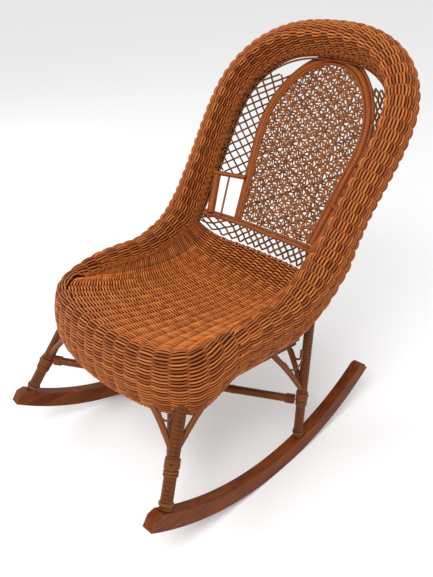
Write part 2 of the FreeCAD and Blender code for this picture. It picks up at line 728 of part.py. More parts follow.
arch_body = doc.addObject("PartDesign::Body", "arch_body")
arch_path = panel_sketch(arch_body, "arch_path", arch_outline(0.0))
arch_start = arch_outline(0.0)[0].StartPoint
side_plane = next(f for f in arch_body.Origin.OriginFeatures if f.Role == "XZ_Plane")
ring_sketch = arch_body.newObject("Sketcher::SketchObject", "arch_ring")
ring_sketch.AttachmentSupport = (side_plane, [""])
ring_sketch.MapMode = "FlatFace"
ring = ring_sketch.addGeometry(Part.Circle(Vector(arch_start.x, 0, 0), Z_AXIS, DIM["arch_rod"]))
ring_size = ring_sketch.addConstraint(Sketcher.Constraint("Radius", ring, DIM["arch_rod"]))
ring_sketch.renameConstraint(ring_size, "rod")
bind(ring_sketch, "Constraints.rod", "arch_rod")
doc.recompute()
arch_pipe = arch_body.newObject("PartDesign::AdditivePipe", "arch_pipe")
arch_pipe.Profile = ring_sketch
arch_pipe.Spine = (arch_path, ["Edge%d" % (number + 1) for number in range(len(arch_outline(0.0)))])
doc.recompute()
finish(arch_body, "arch_frame", panel_place)

panel_body = doc.addObject("PartDesign::Body", "panel_body")
panel_lines = list(arch_outline(-DIM["arch_rod"] - 0.1))
panel_foot = panel_lines[0].StartPoint
panel_lines.append(Part.LineSegment(Vector(-panel_foot.x, 0, 0), panel_foot))
cane_pad = panel_body.newObject("PartDesign::Pad", "cane_pad")
cane_pad.Profile = panel_sketch(panel_body, "cane_outline", panel_lines)
bind(cane_pad, "Length", "cane_thickness")
cane_pad.Midplane = True
doc.recompute()
finish(panel_body, "cane_panel", panel_place)


def panel_edge(height, grow, side):
    """Point of the arch's side line at a height up the panel."""
    line = arch_outline(grow)[0]
    share = height / line.EndPoint.y
    x = line.StartPoint.x + (line.EndPoint.x - line.StartPoint.x) * share
    if height > line.EndPoint.y:
        radius = DIM["shoulder_radius"] + grow
        x = math.sqrt(radius ** 2 - (height - DIM["arch_rise"]) ** 2) - DIM["shoulder_past"]
    return Vector(side * x, DIM["panel_y"], DIM["panel_z"]) + PANEL_UP * height


def inner_edge(run, side):
    """Point on the middle of the woven skin's inner edge beside the sitter."""
    station = Station(distance_at_run(run, side))
    return station.past_inner_edge(0.0)


def thin_strip(rows):
    """A thin sheet through rows of points, thickened towards the rear."""
    stations = []
    for start, end in rows:
        front = [start + (end - start) * t for t in (0.0, 0.5, 1.0)]
        across = end - start
        rear_way = across.cross(rows[-1][0] - rows[0][0])
        if rear_way.y < 0:
            rear_way = rear_way * -1
        rear = [p + rear_way.normalize() * DIM["cane_thickness"] for p in front]
        stations.append((front, rear))
    return sheet_solid(stations)


CROSSBAR_END = Vector(75.5, 203.5, 197.0)
CROSSBAR_KNEE = Vector(50.0, 229.0, 186.5)
SHORT_BAR_OUT = Vector(85.3, 227.7, 232.6)
SHORT_BAR_IN = Vector(57.5, 247.0, 229.0)
bar_path = [mirrored(CROSSBAR_END, -1), mirrored(CROSSBAR_KNEE, -1), CROSSBAR_KNEE, CROSSBAR_END]
finish(feature("crossbar", tube(bar_path, DIM["bar_radius"])), "lower_crossbar")

LATTICE_LOW, LATTICE_HIGH = 44.0, 150.0
SIDE_POST_FOOT = Vector(70.2, 208.5, 195.0)
SIDE_POST_HEAD = Vector(82.6, 229.5, 229.5)
for side_name, side in SIDES:
    bar_out, bar_in = mirrored(SHORT_BAR_OUT, side), mirrored(SHORT_BAR_IN, side)
    finish(rod("short_bar_" + side_name, bar_out, bar_in, "bar_radius", 1.0, 2.9), "short_bar_" + side_name)
    post_foot, post_head = mirrored(SIDE_POST_FOOT, side), mirrored(SIDE_POST_HEAD, side)
    finish(rod("side_post_" + side_name, post_foot, post_head, "post_radius", 3.2, 4.5),
           "side_post_" + side_name)
    slot_low = mirrored(CROSSBAR_END * 0.5 + CROSSBAR_KNEE * 0.5, side)
    slot_high = (bar_out + bar_in) * 0.5
    finish(rod("spindle_" + side_name, slot_low, slot_high, "spindle_radius", 2.7, 2.7),
           "spindle_" + side_name)
    rows = []
    for height in spread(LATTICE_LOW, LATTICE_HIGH, 6):
        inner_side = panel_edge(height, DIM["arch_rod"] + 0.3, side)
        run_here = BEND_END + 36 + (height - LATTICE_LOW) * 1.0
        outer_side = inner_edge(run_here, side) + (inner_side - inner_edge(run_here, side)).normalize() * 6.0
        rows.append((outer_side, inner_side))
    finish(feature("lattice_" + side_name, thin_strip(rows)), "lattice_" + side_name)

strip_rows = []
for across in spread(-1.0, 1.0, 9):
    seat_edge = seat_point(across * 0.93, 1.0) + Vector(0, 1.2, 1.5)
    share = abs(across)
    bar_x = across * CROSSBAR_END.x * 0.97
    knee_share = max((abs(bar_x) - CROSSBAR_KNEE.x) / (CROSSBAR_END.x - CROSSBAR_KNEE.x), 0.0)
    bar = CROSSBAR_KNEE + (CROSSBAR_END - CROSSBAR_KNEE) * knee_share
    bar = Vector(bar_x, bar.y, bar.z)
    strip_rows.append((seat_edge, bar + (seat_edge - bar).normalize() * (DIM["bar_radius"] + 1.4)))
finish(feature("strip", thin_strip(strip_rows)), "lattice_strip")

# ---------------------------------------------------------------- stretchers, braces, curls and bindings

STRETCHER_FRONT_Z, STRETCHER_REAR_Z = 82.0, 61.0
STRETCHER_DROP = 2 * DIM["stretcher_radius"] + 0.3


def on_leg(end_name, side_name, z):
    foot, top, _ = leg_cores[end_name, side_name]
    return foot + (top - foot) * ((z - foot.z) / (top.z - foot.z))


wraps, nails = [], []
other_side = {"left": "right", "right": "left"}
for front_side, drop in (("right", 0.0), ("left", STRETCHER_DROP)):
    start = on_leg("front", front_side, STRETCHER_FRONT_Z - drop)
    end = on_leg("rear", other_side[front_side], STRETCHER_REAR_Z - drop)
    start_gap = DIM["front_leg_radius"] + 0.8
    end_gap = DIM["rear_leg_radius"] + 1.8
    name = "stretcher_" + ("upper" if drop == 0 else "lower")
    bar = rod(name, start, end, "stretcher_radius", start_gap, end_gap)
    way = (end - start).normalize()
    wrap_length, wrap_grow = 9.0, 0.7
    for number, (base, direction) in enumerate(((start + way * start_gap, way), (end - way * end_gap, -way))):
        sleeve = rod("%s_sleeve_%d" % (name, number), base, base + direction * wrap_length,
                     "stretcher_radius + %s" % wrap_grow)
        wraps.append(cut("%s_wrap_%d" % (name, number), sleeve, bar))
    nails.append(rod(name + "_front_nail", start + way * (start_gap - 0.75), start + way * start_gap,
                     "curl_radius * 0.5"))
    nails.append(rod(name + "_rear_nail", end - way * end_gap, end - way * (end_gap - 1.7), "curl_radius * 0.5"))
    finish(bar, name)
finish(group("wraps", wraps), "stretcher_end_wraps")
finish(group("nails", nails), "stretcher_nails")

# where each leg is bound, and the two places that its braces reach on the seat frame
BINDINGS = {
    "front": (86.0, {"front": Vector(60, 22, 0), "side": Vector(91.5, 70, 0)}),
    "rear": (72.0, {"rear": Vector(72, 172, 0), "side": Vector(90, 138, 0)}),
}
rings, tacks = [], []
for end_name in ("front", "rear"):
    bound_z, tops = BINDINGS[end_name]
    leg_radius = DIM[end_name + "_leg_radius"]
    for side_name, side in SIDES:
        foot, top, pole = leg_cores[end_name, side_name]
        place = "%s_%s" % (end_name, side_name)
        slope = (top - foot).normalize()
        middle = on_leg(end_name, side_name, bound_z - 6)
        sleeve = rod("sleeve_" + place, middle - slope * 4.5, middle + slope * 4.5,
                     "%s_leg_radius + 1.2" % end_name)
        finish(cut("binding_" + place, sleeve, pole), "binding_" + place)
        collar = rod("collar_" + place, foot + slope * 4, foot + slope * 6.4, "%s_leg_radius + 0.8" % end_name)
        rings.append(cut("foot_ring_" + place, collar, pole))
        outward = Vector(side * 0.6, -0.8 if end_name == "front" else 0.8, 0)
        outward = (outward - slope * outward.dot(slope)).normalize()
        tack_at = middle + outward * (leg_radius + 1.2)
        tacks.append(rod("tack_" + place, tack_at, tack_at + outward * 0.9, "curl_radius"))
        curls = []
        for way_name, reach in tops.items():
            frame_spot = mirrored(reach, side)
            frame_spot.z = DIM["frame_bottom"]
            low = on_leg(end_name, side_name, bound_z)
            aim = (frame_spot - low).normalize()
            stick = rod("stick_%s_%s" % (place, way_name), low, frame_spot, "brace_radius", 2.0,
                        DIM["brace_radius"] * abs(math.tan(aim.getAngle(Z_AXIS))) + 0.3)
            brace_name = "brace_%s_%s" % (place, way_name)
            finish(cut(brace_name, stick, pole), brace_name)
            share = 0.62
            leg_spot = low + slope * ((frame_spot - low).Length * share)
            brace_spot = low + aim * ((frame_spot - low).Length * share)
            gap = brace_spot - leg_spot
            span = gap.Length - leg_radius - DIM["brace_radius"] - 2 * DIM["curl_radius"] - 0.4
            hub = leg_spot + gap.normalize() * (leg_radius + DIM["curl_radius"] + 0.2 + span / 2)
            curl = doc.addObject("Part::Torus", "curl_%s_%s" % (place, way_name))
            curl.Radius1 = span / 2
            bind(curl, "Radius2", "curl_radius")
            curl.Angle3 = 180
            normal = gap.cross(slope).normalize()
            x_way = gap.normalize()
            y_way = normal.cross(x_way)
            if y_way.z > 0:
                normal = normal * -1
                y_way = y_way * -1
            turn = Rotation(x_way, y_way, normal, "XYZ")
            curl.Placement = Placement(hub, turn)
            curls.append(curl)
        finish(group("curls_" + place, curls), "curls_" + place)
finish(group("rings", rings), "foot_rings")
finish(group("tacks", tacks), "binding_tacks")

# ---------------------------------------------------------------- check and write

doc.recompute()
for item in doc.Objects:
    if "Invalid" in item.State or "Error" in item.State:
        raise RuntimeError("%s did not recompute: %s" % (item.Label, item.State))
os.makedirs("parts", exist_ok=True)
for name, item in parts.items():
    shape = item.Shape
    if shape.isNull() or not shape.isValid() or not shape.Solids:
        raise RuntimeError("%s has no valid solid" % name)
    shape.exportStep("parts/%s.step" % name)
print("%d sub-parts written" % len(parts))
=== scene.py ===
"""Miniature wicker rocking chair: woven reed, cane-wrapped poles and stained wood over the CAD frame."""
import math
import random

import bpy
import numpy as np
from mathutils import Matrix, Vector


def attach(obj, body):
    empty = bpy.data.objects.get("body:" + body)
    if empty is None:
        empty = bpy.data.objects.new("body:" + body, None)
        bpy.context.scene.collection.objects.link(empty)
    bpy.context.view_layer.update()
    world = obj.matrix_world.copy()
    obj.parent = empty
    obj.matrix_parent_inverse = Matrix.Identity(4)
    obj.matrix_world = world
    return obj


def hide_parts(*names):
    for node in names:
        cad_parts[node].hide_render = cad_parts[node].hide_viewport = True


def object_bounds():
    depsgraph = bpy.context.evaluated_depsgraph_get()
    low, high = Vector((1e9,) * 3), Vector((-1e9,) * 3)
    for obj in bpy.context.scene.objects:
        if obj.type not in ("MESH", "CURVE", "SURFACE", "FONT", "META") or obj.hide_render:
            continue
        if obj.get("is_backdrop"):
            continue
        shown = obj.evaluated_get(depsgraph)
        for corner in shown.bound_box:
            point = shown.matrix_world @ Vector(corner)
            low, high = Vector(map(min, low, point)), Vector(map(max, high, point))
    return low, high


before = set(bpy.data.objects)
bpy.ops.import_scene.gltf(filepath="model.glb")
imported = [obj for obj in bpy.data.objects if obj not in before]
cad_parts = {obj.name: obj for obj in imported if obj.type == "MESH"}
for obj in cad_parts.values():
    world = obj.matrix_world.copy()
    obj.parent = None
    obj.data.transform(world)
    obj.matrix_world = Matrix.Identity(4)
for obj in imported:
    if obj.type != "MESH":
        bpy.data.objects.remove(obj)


def write_size(stage_name, sizes):
    low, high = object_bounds()
    sizes[stage_name] = [list(low), list(high)]


SIZES = {}
write_size("frame", SIZES)
rng = random.Random(7)
SIDES = (("left", 1), ("right", -1))
TINY = 1e-12

# ---------------- the chair's own frame, in millimetres

# HUB is the centre of the rockers' running arcs.
HUB = np.array([0.0, 124.0, 268.75])
LEAN = math.radians(3.93)
DEPTH_MIDDLE = 146.06
TURN = np.array([[1, 0, 0],
                 [0, math.cos(LEAN), math.sin(LEAN)],
                 [0, -math.sin(LEAN), math.cos(LEAN)]])


def settle(points):
    """Chair frame in mm to the model's in metres: leaned back on its rockers, centred over the origin."""
    moved = (np.asarray(points, float) - HUB) @ TURN.T + HUB
    moved[..., 1] -= DEPTH_MIDDLE
    return moved * 0.001


# ---------------- mesh building

def unit(vector):
    return vector / np.linalg.norm(vector)


def units(vectors):
    """Each vector along the last axis, made one unit long."""
    return vectors / (np.linalg.norm(vectors, axis=-1)[..., None] + TINY)


def lengths_along(path):
    """Distance of each point from the path's start."""
    return np.concatenate([[0.0], np.cumsum(np.linalg.norm(np.diff(path, axis=0), axis=1))])


def interpolated(at, places, values):
    """Each column of values, which belong to the places, read at other places."""
    return np.stack([np.interp(at, places, column) for column in values.T], axis=-1)


def ring_points(path, normal, side, angle, size, flat=1.0):
    """A ring of points round each point of a path, flat times as high as it is wide."""
    return (path[:, None] + normal[:, None] * (np.cos(angle) * size * flat)[..., None]
            + side[:, None] * (np.sin(angle) * size)[..., None])


def linked(name, data):
    """A new Blender object in the scene."""
    item = bpy.data.objects.new(name, data)
    bpy.context.collection.objects.link(item)
    return item


SHEET_STEP = 1.5


class Strands:
    """Collects tubes and sheets into one mesh piece, with where each point lies along its strand and the
    painted shade it gets.
    """

    def __init__(self, name):
        self.name = name
        self.points, self.quads, self.marks, self.shade_paint = [], [], [], []
        self.count = 0

    def rings(self, rings, along, closed=False, capped=True, shade_paint=0.0):
        """Skin a run of rings, an array of (stations, sides, 3), with painted shade from 1 (darkest, deep in
        the work) to 0 (on top).
        """
        stations, sides = rings.shape[:2]
        index = self.count + np.arange(stations * sides).reshape(stations, sides)
        ahead = np.roll(index, -1, axis=0) if closed else index[1:]
        here = index if closed else index[:-1]
        quads = np.stack([here, np.roll(here, -1, axis=1), np.roll(ahead, -1, axis=1), ahead], axis=-1)
        self.quads.append(quads.reshape(-1, 4))
        self.points.append(rings.reshape(-1, 3))
        around = np.broadcast_to(np.arange(sides) / sides, (stations, sides))
        length = np.broadcast_to(np.asarray(along)[:, None], (stations, sides))
        chance = np.full((stations, sides), rng.random())
        self.marks.append(np.stack([length, around, chance], axis=-1).reshape(-1, 3))
        self.shade_paint.append(np.broadcast_to(shade_paint, (stations, sides)).reshape(-1))
        self.count += stations * sides
        if capped and not closed:
            for ring, tip in ((index[0][::-1], rings[0].mean(0)), (index[-1], rings[-1].mean(0))):
                self.points.append(tip[None])
                self.marks.append(np.array([[along[0], 0.0, 0.5]]))
                self.shade_paint.append(np.array([0.5]))
                centre = np.full(sides, self.count)
                self.quads.append(np.stack([ring, np.roll(ring, -1), centre, centre], axis=-1))
                self.count += 1

    def tube(self, path, radius, sides=6, closed=False, normal=None, flat=1.0, under_shade=0.0, side_shade=0.0):
        """A round or flattened stick; normal is the side that shows; painted shade darkens it where it goes
        under (under shade) and on the sides turned from the normal (side shade).
        """
        path = np.asarray(path, float)
        if closed:
            tangent = units(np.roll(path, -1, axis=0) - np.roll(path, 1, axis=0))
        else:
            tangent = units(np.gradient(path, axis=0))
        if normal is None:
            normal = carried_normals(tangent)
        normal = units(normal - tangent * np.sum(normal * tangent, axis=1)[:, None])
        side = np.cross(tangent, normal)
        angle = np.linspace(0, 2 * math.pi, sides, endpoint=False)[None, :]
        radius = np.broadcast_to(np.asarray(radius, float), (len(path),))[:, None]
        ring = ring_points(path, normal, side, angle, radius, flat)
        side_shade = np.broadcast_to(side_shade, (len(path),))[:, None]
        shade_paint = np.broadcast_to(under_shade, (len(path),))[:, None] + side_shade * 0.5 * (1 - np.cos(angle))
        self.rings(ring, lengths_along(path), closed, shade_paint=np.clip(shade_paint, 0, 1))

    def sheet(self, front, back, closed=False):
        """A thin sheet between two grids of points, each (stations, places, 3); its front is painted in full
        shade, its back lightly.
        """
        loop = np.concatenate([front, back[:, ::-1]], axis=1)
        shade_paint = np.repeat([1.0, 0.12], front.shape[1])
        self.rings(loop, np.arange(len(loop)) * SHEET_STEP, closed=closed, capped=False, shade_paint=shade_paint)

    def piece(self, material, slot, *replaces):
        """Make the Blender object, attach it to the body and hide the CAD nodes it stands for."""
        points = settle(np.concatenate(self.points)).astype(np.float32)
        quads = np.concatenate(self.quads).astype(np.int32)
        mesh = bpy.data.meshes.new(self.name)
        triangle = quads[:, 2] == quads[:, 3]
        sizes = np.where(triangle, 3, 4)
        keep = np.ones(quads.shape, bool)
        keep[triangle, 3] = False
        loops = quads[keep]
        starts = np.concatenate([[0], np.cumsum(sizes)[:-1]])
        mesh.vertices.add(len(points))
        mesh.vertices.foreach_set("co", points.ravel())
        mesh.loops.add(len(loops))
        mesh.loops.foreach_set("vertex_index", loops)
        mesh.polygons.add(len(sizes))
        mesh.polygons.foreach_set("loop_start", starts.astype(np.int32))
        mesh.polygons.foreach_set("loop_total", sizes.astype(np.int32))
        mesh.polygons.foreach_set("use_smooth", np.ones(len(sizes), bool))
        mark = mesh.attributes.new("strand", "FLOAT_VECTOR", "POINT")
        mark.data.foreach_set("vector", np.concatenate(self.marks).astype(np.float32).ravel())
        # painted shade of each point, read by the materials
        depth = mesh.attributes.new("shade_paint", "FLOAT", "POINT")
        depth.data.foreach_set("value", np.concatenate(self.shade_paint).astype(np.float32))
        mesh.update(calc_edges=True)
        mesh.validate()
        item = linked(self.name, mesh)
        item.data.materials.append(material)
        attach(item, "root")
        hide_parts(*replaces)


def carried_normals(tangent):
    """Normals carried along a path without twisting."""
    first = np.array([0.0, 0.0, 1.0])
    if abs(tangent[0] @ first) > 0.9:
        first = np.array([1.0, 0.0, 0.0])
    normals = [first - tangent[0] * (tangent[0] @ first)]
    for t in tangent[1:]:
        n = normals[-1] - t * (t @ normals[-1])
        normals.append(n / (np.linalg.norm(n) + TINY))
    return np.array(normals)


def smooth_path(points, spacing=2.0, share=0.45):
    """Straight runs with rounded corners through the given points, as evenly spaced samples."""
    points = [np.asarray(p, float) for p in points]
    dense = [points[0]]
    for before, corner, after in zip(points, points[1:], points[2:]):
        reach = share * min(np.linalg.norm(corner - before), np.linalg.norm(after - corner))
        first = corner + unit(before - corner) * reach
        last = corner + unit(after - corner) * reach
        for t in np.linspace(0, 1, 9):
            dense.append((1 - t) ** 2 * first + 2 * t * (1 - t) * corner + t * t * last)
    dense.append(points[-1])
    return resample(dense, spacing)


def resample(path, spacing):
    """The same path as evenly spaced samples."""
    path = np.asarray(path, float)
    along = lengths_along(path)
    count = max(int(round(along[-1] / spacing)), 2) + 1
    wanted = np.linspace(0, along[-1], count)
    return interpolated(wanted, along, path)


# ---------------- the woven edge's surface

BACK_SLOPE = math.radians(57.6)
SEAT_LEVEL, BEND_START, BEND_RADIUS = 166.0, 125.0, 96.4
BEND_END = BEND_START + BEND_RADIUS * BACK_SLOPE
ROLL_TOP = BEND_END + 183.0
WEAVE = 1.4
OUTLINE = np.array([(0, 19), (38, 22), (70, 30.5), (90, 47), (97.5, 72), (97, 125), (96, 180), (96, 235),
                    (99.5, 285), (101.6, 320), (97.5, 352), (84, 376), (60, 394), (31, 403), (0, ROLL_TOP)])
ROLL_RADIUS = ((72, 9.5), (125, 12.0), (165, 15.0), (215, 18.0))
ROLL_RAISE = ((30, -9.0), (95, 0.0))
INNER_ANGLE = ((30, 100.0), (78, 188.0))
ROLL_DEPTH = ((22, 42.0), (50, 47.5), (88, 33.0), (133, 32.0), (152, 34.5), (175, 33.0),
              (204, 28.5), (230, 22.0), (258, 17.5))
BORDER_OFFSET = ((24, 8.0), (60, 1.5), (110, 3.0), (165, 3.5), (204, 4.0), (255, -4.0))
BELLY = ((24, 5.0), (72, 3.0), (133, 1.0), (204, 0.0))
CURL_UNDER = ((200, 0.25), (255, 0.0))
FLATTENED = ((150, 0.0), (240, 1.0))
FLAT_TOWARDS = math.radians(162.0)
FLAT_REACH, FLAT_SHARPNESS = 9.5, 10
BESIDE_SITTER = ((38, 0.0), (58, 1.0))
BRAID_RADIUS, BRAID_GAP, SKIN_OVERLAP = 2.4, 0.15, 1.0


def smooth_table(table, at):
    """Reads a table of (run, value) rows, easing from each row to the next."""
    places = np.array([row[0] for row in table], float)
    values = np.array([row[1] for row in table], float)
    at = np.clip(at, places[0], places[-1])
    low = np.clip(np.searchsorted(places, at, side="right") - 1, 0, len(places) - 2)
    share = (at - places[low]) / (places[low + 1] - places[low])
    return values[low] + (values[low + 1] - values[low]) * share * share * (3 - 2 * share)


def closed_spline(points, samples=6000):
    """Smooth closed curve through the points: positions, and the distance along it to each."""
    chord = np.linalg.norm(np.roll(points, -1, axis=0) - points, axis=1)
    count = len(points)
    matrix = np.zeros((count, count))
    right = np.zeros((count, 2))
    for i in range(count):
        before, after = chord[i - 1], chord[i]
        matrix[i, i - 1] += before
        matrix[i, i] += 2 * (before + after)
        matrix[i, (i + 1) % count] += after
        turn = (points[(i + 1) % count] - points[i]) / after - (points[i] - points[i - 1]) / before
        right[i] = 6 * turn
    bend = np.linalg.solve(matrix, right)
    start = np.concatenate([[0.0], np.cumsum(chord)])
    at = np.linspace(0, start[-1], samples)
    low = np.clip(np.searchsorted(start, at, side="right") - 1, 0, count - 1)
    high = (low + 1) % count
    width = chord[low][:, None]
    a = (start[low + 1] - at)[:, None]
    b = (at - start[low])[:, None]
    curve = (bend[low] * a ** 3 / (6 * width) + bend[high] * b ** 3 / (6 * width)
             + (points[low] / width - bend[low] * width / 6) * a
             + (points[high] / width - bend[high] * width / 6) * b)
    return curve, lengths_along(curve)


OUTLINE_CURVE, OUTLINE_ALONG = closed_spline(np.concatenate([OUTLINE, OUTLINE[-2:0:-1] * [-1, 1]]))
OUTLINE_LENGTH = OUTLINE_ALONG[-1]


def profile(run):
    """Side view of the chair at a run back along it: level seat, bend, straight back."""
    slope = np.clip((run - BEND_START) / BEND_RADIUS, 0, BACK_SLOPE)
    flat = np.minimum(run, BEND_START)
    rest = np.maximum(run - BEND_END, 0)
    y = flat + BEND_RADIUS * np.sin(slope) + rest * np.cos(slope)
    z = SEAT_LEVEL + BEND_RADIUS * (1 - np.cos(slope)) + rest * np.sin(slope)
    return y, z, slope


class Edge:
    """Cuts across the roll at many distances along its outline, measured from the front middle."""

    def __init__(self, distance):
        self.distance = np.asarray(distance, float)
        place = self.distance % OUTLINE_LENGTH
        step = 0.5
        flat, after, before = (
            interpolated((place + ahead) % OUTLINE_LENGTH, OUTLINE_ALONG, OUTLINE_CURVE)
            for ahead in (0, step, -step))
        course = units(after - before)
        run = flat[:, 1]
        self.run = run
        y, z, slope = profile(run)
        zero = np.zeros_like(y)
        ahead = np.stack([zero, np.cos(slope), np.sin(slope)], axis=1)
        self.up = np.stack([zero, -np.sin(slope), np.cos(slope)], axis=1)
        raised = smooth_table(ROLL_RAISE, run)
        self.centre = np.stack([flat[:, 0], y, z], axis=1) + self.up * raised[:, None]
        self.outward = np.array([1.0, 0, 0]) * course[:, 1:] - ahead * course[:, :1]
        self.inner_angle = np.radians(smooth_table(INNER_ANGLE, run))
        self.radius, self.depth, self.border = (
            smooth_table(table, run) for table in (ROLL_RADIUS, ROLL_DEPTH, BORDER_OFFSET))
        self.belly, self.under, self.flattened = (
            smooth_table(table, run) for table in (BELLY, CURL_UNDER, FLATTENED))

    def reach(self, angle, inset=0.0):
        """Distance from the roll's middle line to its skin: a circle with one side flattened."""
        radius, flattened = self.radius - inset, self.flattened
        if np.ndim(angle) == 2:
            radius, flattened = radius[:, None], flattened[:, None]
        pressed = flattened * np.maximum(np.cos(angle - FLAT_TOWARDS), 0.0) * radius / (FLAT_REACH - inset)
        return radius / (1 + pressed ** FLAT_SHARPNESS) ** (1 / FLAT_SHARPNESS)

    def flat_section(self, share):
        """(stations, shares, 2) of across and height in each cut: the roll, then a curve to the border."""
        share = np.broadcast_to(share, (len(self.radius), np.shape(share)[-1]))
        radius, depth, border = self.radius[:, None], self.depth[:, None], self.border[:, None]
        belly, under = self.belly[:, None], self.under[:, None]
        angle = self.inner_angle[:, None] * (1 - 2 * np.minimum(share, 0.5))
        t = np.clip(2 * share - 1, 0, 1)
        u = 1 - t
        w0, w1, w2, w3 = u ** 3, 3 * t * u * u, 3 * t * t * u, t ** 3
        across = w0 * radius + w1 * (radius + belly) + w2 * (border + 0.5 * (radius - border) + 0.6 * belly)
        across = across + w3 * border
        height = -(w1 * 0.5 + w2 * (1 - under) + w3) * depth
        rolled = share <= 0.5
        reach = self.reach(angle)
        return np.stack([np.where(rolled, reach * np.cos(angle), across),
                         np.where(rolled, reach * np.sin(angle), height)], axis=-1)

    def rows(self, fractions):
        """Points and outward normals at fractions of the woven width, as (rows, stations, 3).

        Fractions are the same in every cut, or an array of (stations, rows)."""
        shares = np.linspace(0, 1, 61)
        section = self.flat_section(shares)
        steps = np.linalg.norm(np.diff(section, axis=1), axis=2)
        along = np.concatenate([np.zeros((len(steps), 1)), np.cumsum(steps, axis=1)], axis=1)
        along /= along[:, -1:]
        wanted = np.broadcast_to(fractions, (len(along), np.shape(fractions)[-1]))
        pick = np.array([np.interp(f, a, shares) for f, a in zip(wanted, along)])
        small = 0.004
        here = self.flat_section(pick)
        after, before = np.clip(pick + small, 0, 1), np.clip(pick - small, 0, 1)
        change = units(self.flat_section(after) - self.flat_section(before))
        normal = np.stack([-change[..., 1], change[..., 0]], axis=-1)
        points = (self.centre[:, None] + self.outward[:, None] * here[..., :1]
                  + self.up[:, None] * here[..., 1:])
        normals = self.outward[:, None] * normal[..., :1] + self.up[:, None] * normal[..., 1:]
        return points.transpose(1, 0, 2), normals.transpose(1, 0, 2)

    def inner_edge(self, beyond, lift=0.0):
        """Points and normals a distance past the skin's inner edge, and lifted off the roll."""
        angle = self.inner_angle + beyond / self.reach(self.inner_angle)
        radius = self.reach(angle, WEAVE / 2) + lift
        normal = self.outward * np.cos(angle)[:, None] + self.up * np.sin(angle)[:, None]
        return self.centre + normal * radius[:, None], normal

    def seat_rim(self):
        """Where the seat starts: against the skin in front, against the braid beside the sitter."""
        beside = smooth_table(BESIDE_SITTER, self.run)[:, None]
        by_skin = self.inner_edge(SKIN_OVERLAP)[0]
        by_braid = self.inner_edge(BRAID_RADIUS + BRAID_GAP)[0]
        by_braid = by_braid - self.outward * (BRAID_RADIUS + 2 * BRAID_GAP)
        return by_skin + (by_braid - by_skin) * beside

    def border_line(self, beyond):
        """Points and normals a distance past the skin's outer edge."""
        points, normals = self.rows(np.array([0.985, 1.0]))
        way = units(points[1] - points[0])
        return points[1] + way * beyond - normals[1] * WEAVE / 2, normals[1]


def distance_at_run(target):
    """Distance round the left half of the outline to where its run reaches the target, by halving."""
    low, high = 60.0, OUTLINE_LENGTH / 2 - 1
    for _ in range(40):
        middle = (low + high) / 2
        if Edge(np.array([middle])).run[0] < target:
            low = middle
        else:
            high = middle
    return low


# ---------------- materials

SHEEN_TINT = (1.0, 0.78, 0.58, 1)
RELIEF = 0.0003


class Nodes:
    """A new material's node tree. An input is a plain value or another node's output."""

    def __init__(self, name):
        self.material = bpy.data.materials.new(name)
        self.material.use_nodes = True
        self.tree = self.material.node_tree
        self.tree.nodes.clear()

    def node(self, kind, inputs=(), **settings):
        made = self.tree.nodes.new("ShaderNode" + kind)
        for key, value in settings.items():
            setattr(made, key, value)
        for key, value in dict(inputs).items():
            if isinstance(value, bpy.types.NodeSocket):
                self.tree.links.new(value, made.inputs[key])
            else:
                made.inputs[key].default_value = value
        return made

    def add(self, kind, inputs=(), output=0, **settings):
        return self.node(kind, inputs, **settings).outputs[output]

    def noise(self, place, scale, detail, distortion=0.0):
        return self.add("TexNoise", {"Vector": place, "Scale": scale, "Detail": detail,
                                     "Distortion": distortion})

    def ramp(self, factor, dark_at, dark, light_at, light):
        made = self.node("ValToRGB", {"Fac": factor})
        for element, place, colour in zip(made.color_ramp.elements, (dark_at, light_at), (dark, light)):
            element.position = place
            element.color = (*colour, 1)
        return made.outputs["Color"]

    def multiplied(self, factor, colour, tint):
        """The colour, multiplied by the tint as far as the factor says."""
        inputs = {"Factor": factor, 6: colour, 7: (*tint, 1)}
        return self.add("Mix", inputs, 2, data_type="RGBA", blend_type="MULTIPLY")

    def surface(self, colour, roughness, relief, strength, specular, coat=0.0):
        """Joins the shader, with its bump, to the output and gives the material."""
        bump = self.add("Bump", {"Strength": strength, "Distance": RELIEF, "Height": relief})
        shader = self.add("BsdfPrincipled", {
            "Base Color": colour, "Roughness": roughness, "Specular IOR Level": specular,
            "Specular Tint": SHEEN_TINT, "Coat Weight": coat, "Coat Roughness": 0.35, "Normal": bump})
        self.node("OutputMaterial", {"Surface": shader})
        return self.material


def material(name, dark, light, rough=0.5, island=0.5, coat=0.04, shade_colour=(0.1, 0.055, 0.04)):
    """Varnished reed or cane: fibres along each strand, uneven stain, and painted shade where the strand
    lies deep, on its hidden sides and in seams.
    """
    nodes = Nodes(name)
    strand = nodes.add("Attribute", output="Vector", attribute_name="strand")
    fibre = nodes.noise(nodes.add("Mapping", {"Vector": strand, "Scale": (0.08, 5.0, 9.0)}), 1.6, 3.0)
    cloud = nodes.noise(nodes.add("TexCoord", output="Object"), 26.0, 4.0)
    own_tone = nodes.add("NewGeometry", output="Random Per Island")
    own_tone = nodes.add("Math", {0: own_tone, 1: island}, operation="MULTIPLY")
    tone = nodes.add("Math", {0: fibre, 1: 1.0 - island, 2: own_tone}, operation="MULTIPLY_ADD")
    stain = nodes.add("MapRange", {"Value": cloud, "From Min": 0.35, "From Max": 0.7, "To Max": 0.25})
    colour = nodes.multiplied(stain, nodes.ramp(tone, 0.2, dark, 0.8, light), (0.62, 0.42, 0.3))
    # painted shade: the colour is multiplied towards the shade colour by each point's painted shade value
    shade_paint = nodes.add("Attribute", output="Fac", attribute_name="shade_paint")
    colour = nodes.multiplied(shade_paint, colour, shade_colour)
    roughness = nodes.add("MapRange", {"Value": fibre, "To Min": rough - 0.12, "To Max": rough + 0.15})
    return nodes.surface(colour, roughness, fibre, 0.25, 0.22, coat)


